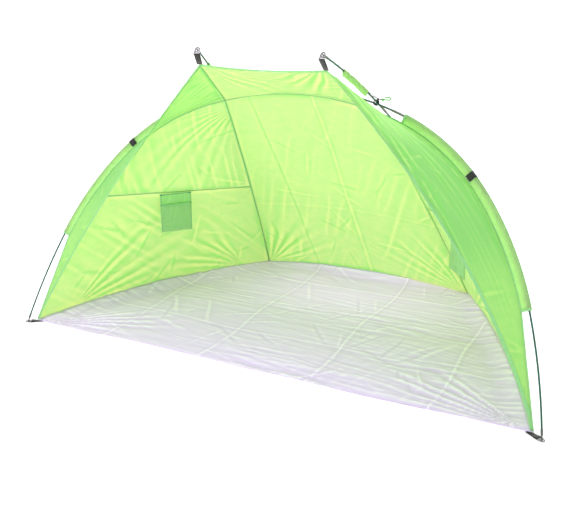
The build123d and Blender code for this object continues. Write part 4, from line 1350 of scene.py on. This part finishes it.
def make_pockets():
    top = lerp(hoop.seam(WAIST_HOOP), corner_seam(WAIST_CORNER), 0.5)
    run = corner_seam(WAIST_CORNER) - hoop.seam(WAIST_HOOP)
    run = unit(np.array((run[0], run[1], 0)))
    inward = np.array((-run[1], run[0], 0))
    hinge = top + inward * POCKET_CLEAR - UP * POCKET_CLEAR
    for name, side in SIDES:
        seed = 211 if side > 0 else 221

        def at(x, drop, depth):
            return hinge + run * x + UP * -drop + inward * depth

        def back_relief_of(x, y):
            return 0.0012 * noise(x / 0.03, y / 0.05, seed) + 0.0008 * pulled(x, y, 60, 0.06, 0.012, seed + 1)

        half = POCKET_WIDTH / 2
        rear = panel(f"pocket_back_{name}", lambda v: at(-half, POCKET_DROP * (1 - v), 0.0012),
                     lambda v: at(half, POCKET_DROP * (1 - v), 0.0012), None, None, 0.004,
                     back_relief_of, side, keep=0.01)

        def pouch_relief(x, y):
            belly = np.cos(np.clip(x / half, -1, 1) * math.pi / 2) * smooth(y / 0.03)
            tuck = (np.exp(-np.abs(x + 0.012 - 0.25 * (y - 0.06)) / 0.006)
                    + 0.6 * np.exp(-np.abs(x + 0.035 - 0.1 * y) / 0.006))
            return (-(0.0055 * belly) + 0.0022 * tuck * smooth(y / 0.03)
                    + 0.001 * noise(x / 0.02, y / 0.04, seed + 2))

        front = panel(f"pocket_front_{name}",
                      lambda v: at(-half, lerp(POCKET_DROP, POCKET_HEADER, v), 0.0026),
                      lambda v: at(half, lerp(POCKET_DROP, POCKET_HEADER, v), 0.0026), None, None, 0.004,
                      pouch_relief, side, keep=0.006)
        mouth_line = [at(x, POCKET_HEADER + 0.003, 0.0032 + 0.0052 * math.cos(x / half * math.pi / 2))
                      for x in np.linspace(-half, half, 40)]
        mouth = swept("mouth", on_line(mouth_line, np.tile(inward, (40, 1))), lozenge(0.008, 0.0014), side)
        edges = []
        for x in (-half + 0.003, half - 0.003):
            line = [at(x, d, 0.0024) for d in np.linspace(0, POCKET_DROP - 0.001, 30)]
            edges.append(swept("edge", on_line(line, np.tile(inward, (30, 1))), lozenge(0.006, 0.0022), side,
                               lambda turn, d: 0.0004 * noise(turn * 4, d / 0.01, seed + 5), around=16))
        head = [at(x, 0.003, 0.002) for x in np.linspace(-half, half, 30)]
        edges.append(swept("head", on_line(head, np.tile(inward, (30, 1))), lozenge(0.006, 0.002), side))
        hems = joined(f"pocket_hems_{name}", [mouth, *edges])
        tacks = []
        for x, d in ((-half + 0.004, 0.004), (half - 0.004, 0.004), (half - 0.004, POCKET_HEADER + 0.003),
                     (-half + 0.004, POCKET_HEADER + 0.003)):
            line = [at(x - 0.004, d, 0.0040), at(x, d, 0.0043), at(x + 0.004, d, 0.0040)]
            tacks.append(swept("tack", on_line(line, np.tile(inward, (3, 1))), lozenge(0.003, 0.001), side))
        for x in np.linspace(-half + 0.012, half - 0.012, 16):
            line = [at(x - 0.0022, 0.0035, 0.0034), at(x + 0.0022, 0.0035, 0.0034)]
            tacks.append(swept("tack", on_line(line, np.tile(inward, (2, 1))), lozenge(0.0009, 0.0006), side))
        thread = joined(f"pocket_bartacks_{name}", tacks)
        pocket_look = taffeta("Pocket taffeta", tuple(colours().pocket), 0.45, crumple=22.0)
        body = f"pocket_{name}"
        done(rear, body, "fabric", pocket_look, f"pocket_{name}")
        done(front, body, "fabric", pocket_look)
        done(hems, body, "fabric_hem", hem_look())
        done(thread, body, "fabric_hem", thread_look())


def wound(centre, normal, across, wide, tall, turns, pitch):
    """A cord wound round two poles: rounded loops stepped along the normal."""
    points = []
    steps = 26
    for i in range(turns * steps + 1):
        a = 2 * math.pi * i / steps
        c, s = math.cos(a), math.sin(a)
        box = 1 / max(abs(c) ** 3.2 + abs(s) ** 3.2, 1e-6) ** (1 / 3.2)
        off = (i / steps - turns / 2) * pitch
        points.append(centre + across * c * box * wide / 2
                      + np.cross(normal, across) * s * box * tall / 2 + normal * off)
    return np.array(points)


def tube_along(points, radius, side, sides=8):
    run = np.gradient(points, axis=0)
    run = run / np.linalg.norm(run, axis=1, keepdims=True)
    x = np.cross(run[0], UP if abs(run[0][2]) < 0.9 else np.array((1.0, 0, 0)))
    places = []
    for p, t in zip(points, run):
        x = unit(x - t * x.dot(t))
        places.append((p, x, np.cross(t, x)))
    return swept("tube", places, circle(radius, sides), side)


def make_crossing_ties():
    d = HOOP_CROSSING
    middle = (hoop.point(d) + RIDGE_OVER) / 2
    a, b = hoop.tangent(d), ridge.tangent(ridge.crossing)
    slant = math.acos(max(-1, min(1, a.dot(b)))) / 2
    r = sizes().cord / 2
    tall = CROSS_LIFT + 2 * POLE_R + 2 * r + 0.0006
    knot = RIDGE_OVER + OVER_HOOP * (POLE_R + 0.0008 + KNOT_R)
    sleeve_end = ridge.point(RIDGE_END - RIDGE_SLEEVE[0])
    for name, side in SIDES:
        parts = []
        across = unit(a + b)
        wide = 2 * POLE_R / math.sin(slant) + 2 * r + 0.004
        turns = wound(middle, unit(np.cross(across, OVER_HOOP)), across, wide, tall, 3, 0.0028)
        parts.append(tube_along(turns, r, side))
        for spin in range(4):
            n = unit(Vector((math.cos(spin * 0.8), math.sin(spin * 0.8), 0.5 - 0.3 * spin)))
            n = np.array(n)
            u = unit(np.cross(n, UP + 0.1))
            w = np.cross(n, u)
            ring_r = KNOT_R - r - 0.0003 * spin
            loop = np.array([knot + (u * math.cos(t) + w * math.sin(t)) * ring_r
                             for t in np.linspace(0, 2 * math.pi, 22)])
            parts.append(tube_along(loop, r, side))
        for off in (-1, 1):
            start = sleeve_end + ridge.inward(RIDGE_END - RIDGE_SLEEVE[0]) * 0.004 * off
            end = knot + np.array((0, 0.0016 * off, -0.002))
            sag = [lerp(start, end, t) - UP * 0.004 * math.sin(math.pi * t) for t in np.linspace(0, 1, 14)]
            lift = OVER_HOOP * 0.0055
            parts.append(tube_along(np.array([p + lift * math.sin(math.pi * min(1, t * 1.6) / 2)
                                              for p, t in zip(sag, np.linspace(0, 1, 14))]), r * 0.7, side))
        piece = joined(f"crossing_lashing_{name}", parts)
        done(piece, "tent", "cord", cord_look(), f"crossing_tie_{name}")


def make_hooks():
    for name, side in SIDES:
        hook = refined(f"hook_moulding_{name}", f"hook_{name}", 0.0006, 3)
        done(hook, f"hook_{name}", "hook", moulded("Hook plastic", tuple(colours().hook)), f"hook_{name}")
        low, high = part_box(f"hook_elastic_{name}")
        middle = np.array((low + high) / 2)
        half = (high.x - low.x) / 2
        loops = []
        for off in (-0.0012, 0.0012):
            line = [middle + np.array((half * side * t, 0, off * (1 - t * t))) for t in np.linspace(-1, 1, 9)]
            loops.append(tube_along(np.array(line), 0.0010, 1.0))
        elastic = joined(f"hook_loop_{name}", loops)
        done(elastic, f"hook_{name}", "cord", cord_look(), f"hook_elastic_{name}")


def finish_cad_nodes():
    """Poles, ferrules, tips and the cords inside the poles keep their CAD shape."""
    pole = fibreglass("Painted fibreglass", tuple(colours().pole))
    for name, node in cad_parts.items():
        if node.hide_render:
            continue
        if "_pole_" in name:
            look, slot = pole, "pole"
        elif name in ("pole_ferrules", "pole_tips"):
            look, slot = steel_look(), "steel"
        elif name == "shock_cords":
            look, slot = cord_look(), "cord"
        else:
            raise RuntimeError(f"{name} has no finish")
        node.data.materials.clear()
        node.data.materials.append(look)


def area_light(name, place, aim, size, watts, colour=(1, 1, 1)):
    lamp = bpy.data.lights.new(name, "AREA")
    lamp.shape, lamp.size, lamp.energy, lamp.color = "DISK", size, watts, colour
    holder = bpy.data.objects.new(name, lamp)
    bpy.context.scene.collection.objects.link(holder)
    holder.location = place
    holder.rotation_euler = (Vector(aim) - Vector(place)).to_track_quat("-Z", "Y").to_euler()
    return holder


def make_stage():
    scene = bpy.context.scene
    bm = bmesh.new()
    bmesh.ops.create_grid(bm, x_segments=8, y_segments=8, size=30)
    bmesh.ops.translate(bm, verts=bm.verts, vec=(0, 0, -0.0008))
    floor = link(bm, "studio_floor")
    material, tree, out = new_material("Studio floor")
    grain = wired(tree, "ShaderNodeTexNoise", Vector=object_of(tree), Scale=3.0, Detail=2.0)
    shade = tuple(colours().backdrop)
    tint = blended(tree, grain.outputs["Fac"], tuple(c * 0.995 for c in shade), shade)
    paint = wired(tree, "ShaderNodeBsdfPrincipled", Base_Color=tint, Roughness=0.9)
    glow = wired(tree, "ShaderNodeEmission", Color=(1, 1, 1, 1), Strength=0.45)
    both = wired(tree, "ShaderNodeAddShader", i0=paint.outputs[0], i1=glow.outputs[0])
    tree.links.new(both.outputs[0], out.inputs["Surface"])
    floor.data.materials.append(material)
    world = bpy.data.worlds.new("Studio")
    world.use_nodes = True
    tree = world.node_tree
    geometry = wired(tree, "ShaderNodeNewGeometry")
    way = wired(tree, "ShaderNodeSeparateXYZ", Vector=geometry.outputs["Position"])
    rear = wired(tree, "ShaderNodeMapRange", Value=way.outputs["Y"])
    for key, value in (("From Min", -0.7), ("From Max", 0.3), ("To Min", 0.60), ("To Max", 1.38)):
        rear.inputs[key].default_value = value
    sky = tree.nodes["Background"]
    sky.inputs["Color"].default_value = (1, 1, 1, 1)
    tree.links.new(rear.outputs[0], sky.inputs["Strength"])
    scene.world = world
    key = area_light("key", (-1.2, -2.4, 2.6), (0, 0, 0.1), 1.4, 38, (0.97, 0.82, 1.0))
    rim = area_light("rim", (0.6, 3.2, 2.8), (0, 0.3, 0.7), 1.6, 20)
    inner = area_light("inner", (0, 0.10, 0.50), (0, 0.60, 0.35), 0.9, 3.0, (0.72, 0.42, 1.0))
    inner.data.shape = "RECTANGLE"
    inner.data.size_y = 0.2
    inner.visible_camera = False
    fill = area_light("fill", (0, -1.2, 1.6), (0, -0.1, 0), 1.2, 9, (0.35, 0.02, 1.0))
    lit = bpy.data.collections.new("Lit by the inner and fill lamps")
    for name in ("groundsheet_cloth", "floor_border_strip"):
        lit.objects.link(bpy.data.objects[name])
    inner.light_linking.receiver_collection = lit
    fill.light_linking.receiver_collection = lit
    camera = bpy.data.objects.new("camera", bpy.data.cameras.new("camera"))
    scene.collection.objects.link(camera)
    camera.location = (1.3332, -2.8623, 1.3143)
    camera.rotation_euler = (math.radians(71.65), 0, math.radians(26.71))
    camera.data.lens = 50.5
    camera.data.sensor_width = 36
    scene.camera = camera
    scene.view_settings.view_transform = "Standard"


# ---- add-on ----
def operator(key, label, text, action):
    """One operator that makes one piece or group of like pieces."""

    def execute(self, context):
        action()
        return {"FINISHED"}

    return type(f"TENT_OT_{key}", (bpy.types.Operator,),
                {"bl_idname": f"tent.{key}", "bl_label": label, "__doc__": text, "execute": execute})


STEPS = (
    ("groundsheet", "Groundsheet", "Lay the crinkled groundsheet", make_groundsheet),
    ("floor_border", "Floor border", "Sew the border to the groundsheet", make_floor_border),
    ("lower_walls", "Lower walls", "Make the side walls below the waist seam", make_lower_walls),
    ("upper_walls", "Upper walls", "Make the side walls above the waist seam", make_upper_walls),
    ("back_panel", "Back panel", "Make the back panel", make_back_panel),
    ("roof_panel", "Roof panel", "Make the roof panel", make_roof_panel),
    ("wings", "Wings", "Make the two front wings", make_wings),
    ("wing_hems", "Wing hems", "Fold the hems of the wings", make_wing_hems),
    ("roof_hem", "Roof hem", "Fold the roof's front hem", make_roof_hem),
    ("seams", "Seams", "Fell the seams between the panels", make_seams),
    ("hoop_sleeves", "Hoop sleeves", "Gather the sleeves on the hoop pole", make_hoop_sleeves),
    ("sleeve_trim", "Sleeve trim", "Sew the piping and bindings of the hoop sleeves", make_sleeve_trim),
    ("ridge_sleeves", "Ridge sleeves", "Gather the short sleeves behind the peaks", make_ridge_sleeves),
    ("corner_sleeves", "Corner sleeves", "Make the long rear sleeves", make_corner_sleeves),
    ("sleeve_bands", "Sleeve bands", "Fold the webbing bands over the hoop sleeves", make_sleeve_bands),
    ("webbing_tabs", "Webbing tabs", "Loop the webbing tabs round the clips' bars", make_webbing_tabs),
    ("clips", "Clips", "Finish the stamped clips", make_clips),
    ("pockets", "Pockets", "Hang the two pockets", make_pockets),
    ("crossing_ties", "Crossing ties", "Tie the poles together where they cross", make_crossing_ties),
    ("hooks", "Hooks", "Finish the hooks and their elastic loops", make_hooks),
    ("poles", "Poles", "Paint the poles and their metal parts", finish_cad_nodes),
    ("stage", "Stage", "Set up the floor, lights and camera", make_stage),
)
OPERATORS = [operator(*step) for step in STEPS]


class TENT_PT_panel(bpy.types.Panel):
    """Lists the shelter's pieces, sizes and colours"""

    bl_label = "Beach shelter"
    bl_idname = "TENT_PT_panel"
    bl_space_type = "VIEW_3D"
    bl_region_type = "UI"
    bl_category = "Beach shelter"

    def draw(self, context):
        for group_of in (context.scene.tent_sizes, context.scene.tent_colours):
            for key in group_of.__annotations__:
                self.layout.prop(group_of, key)
        for key, *_ in STEPS:
            self.layout.operator(f"tent.{key}")


CLASSES = [TentSizes, TentColours, *OPERATORS, TENT_PT_panel]


def register():
    for made in CLASSES:
        bpy.utils.register_class(made)
    bpy.types.Scene.tent_sizes = PointerProperty(type=TentSizes)
    bpy.types.Scene.tent_colours = PointerProperty(type=TentColours)


def unregister():
    del bpy.types.Scene.tent_colours
    del bpy.types.Scene.tent_sizes
    for made in reversed(CLASSES):
        bpy.utils.unregister_class(made)


def main():
    register()
    for key, *_ in STEPS:
        getattr(bpy.ops.tent, key)()


if __name__ == "__main__":
    main()
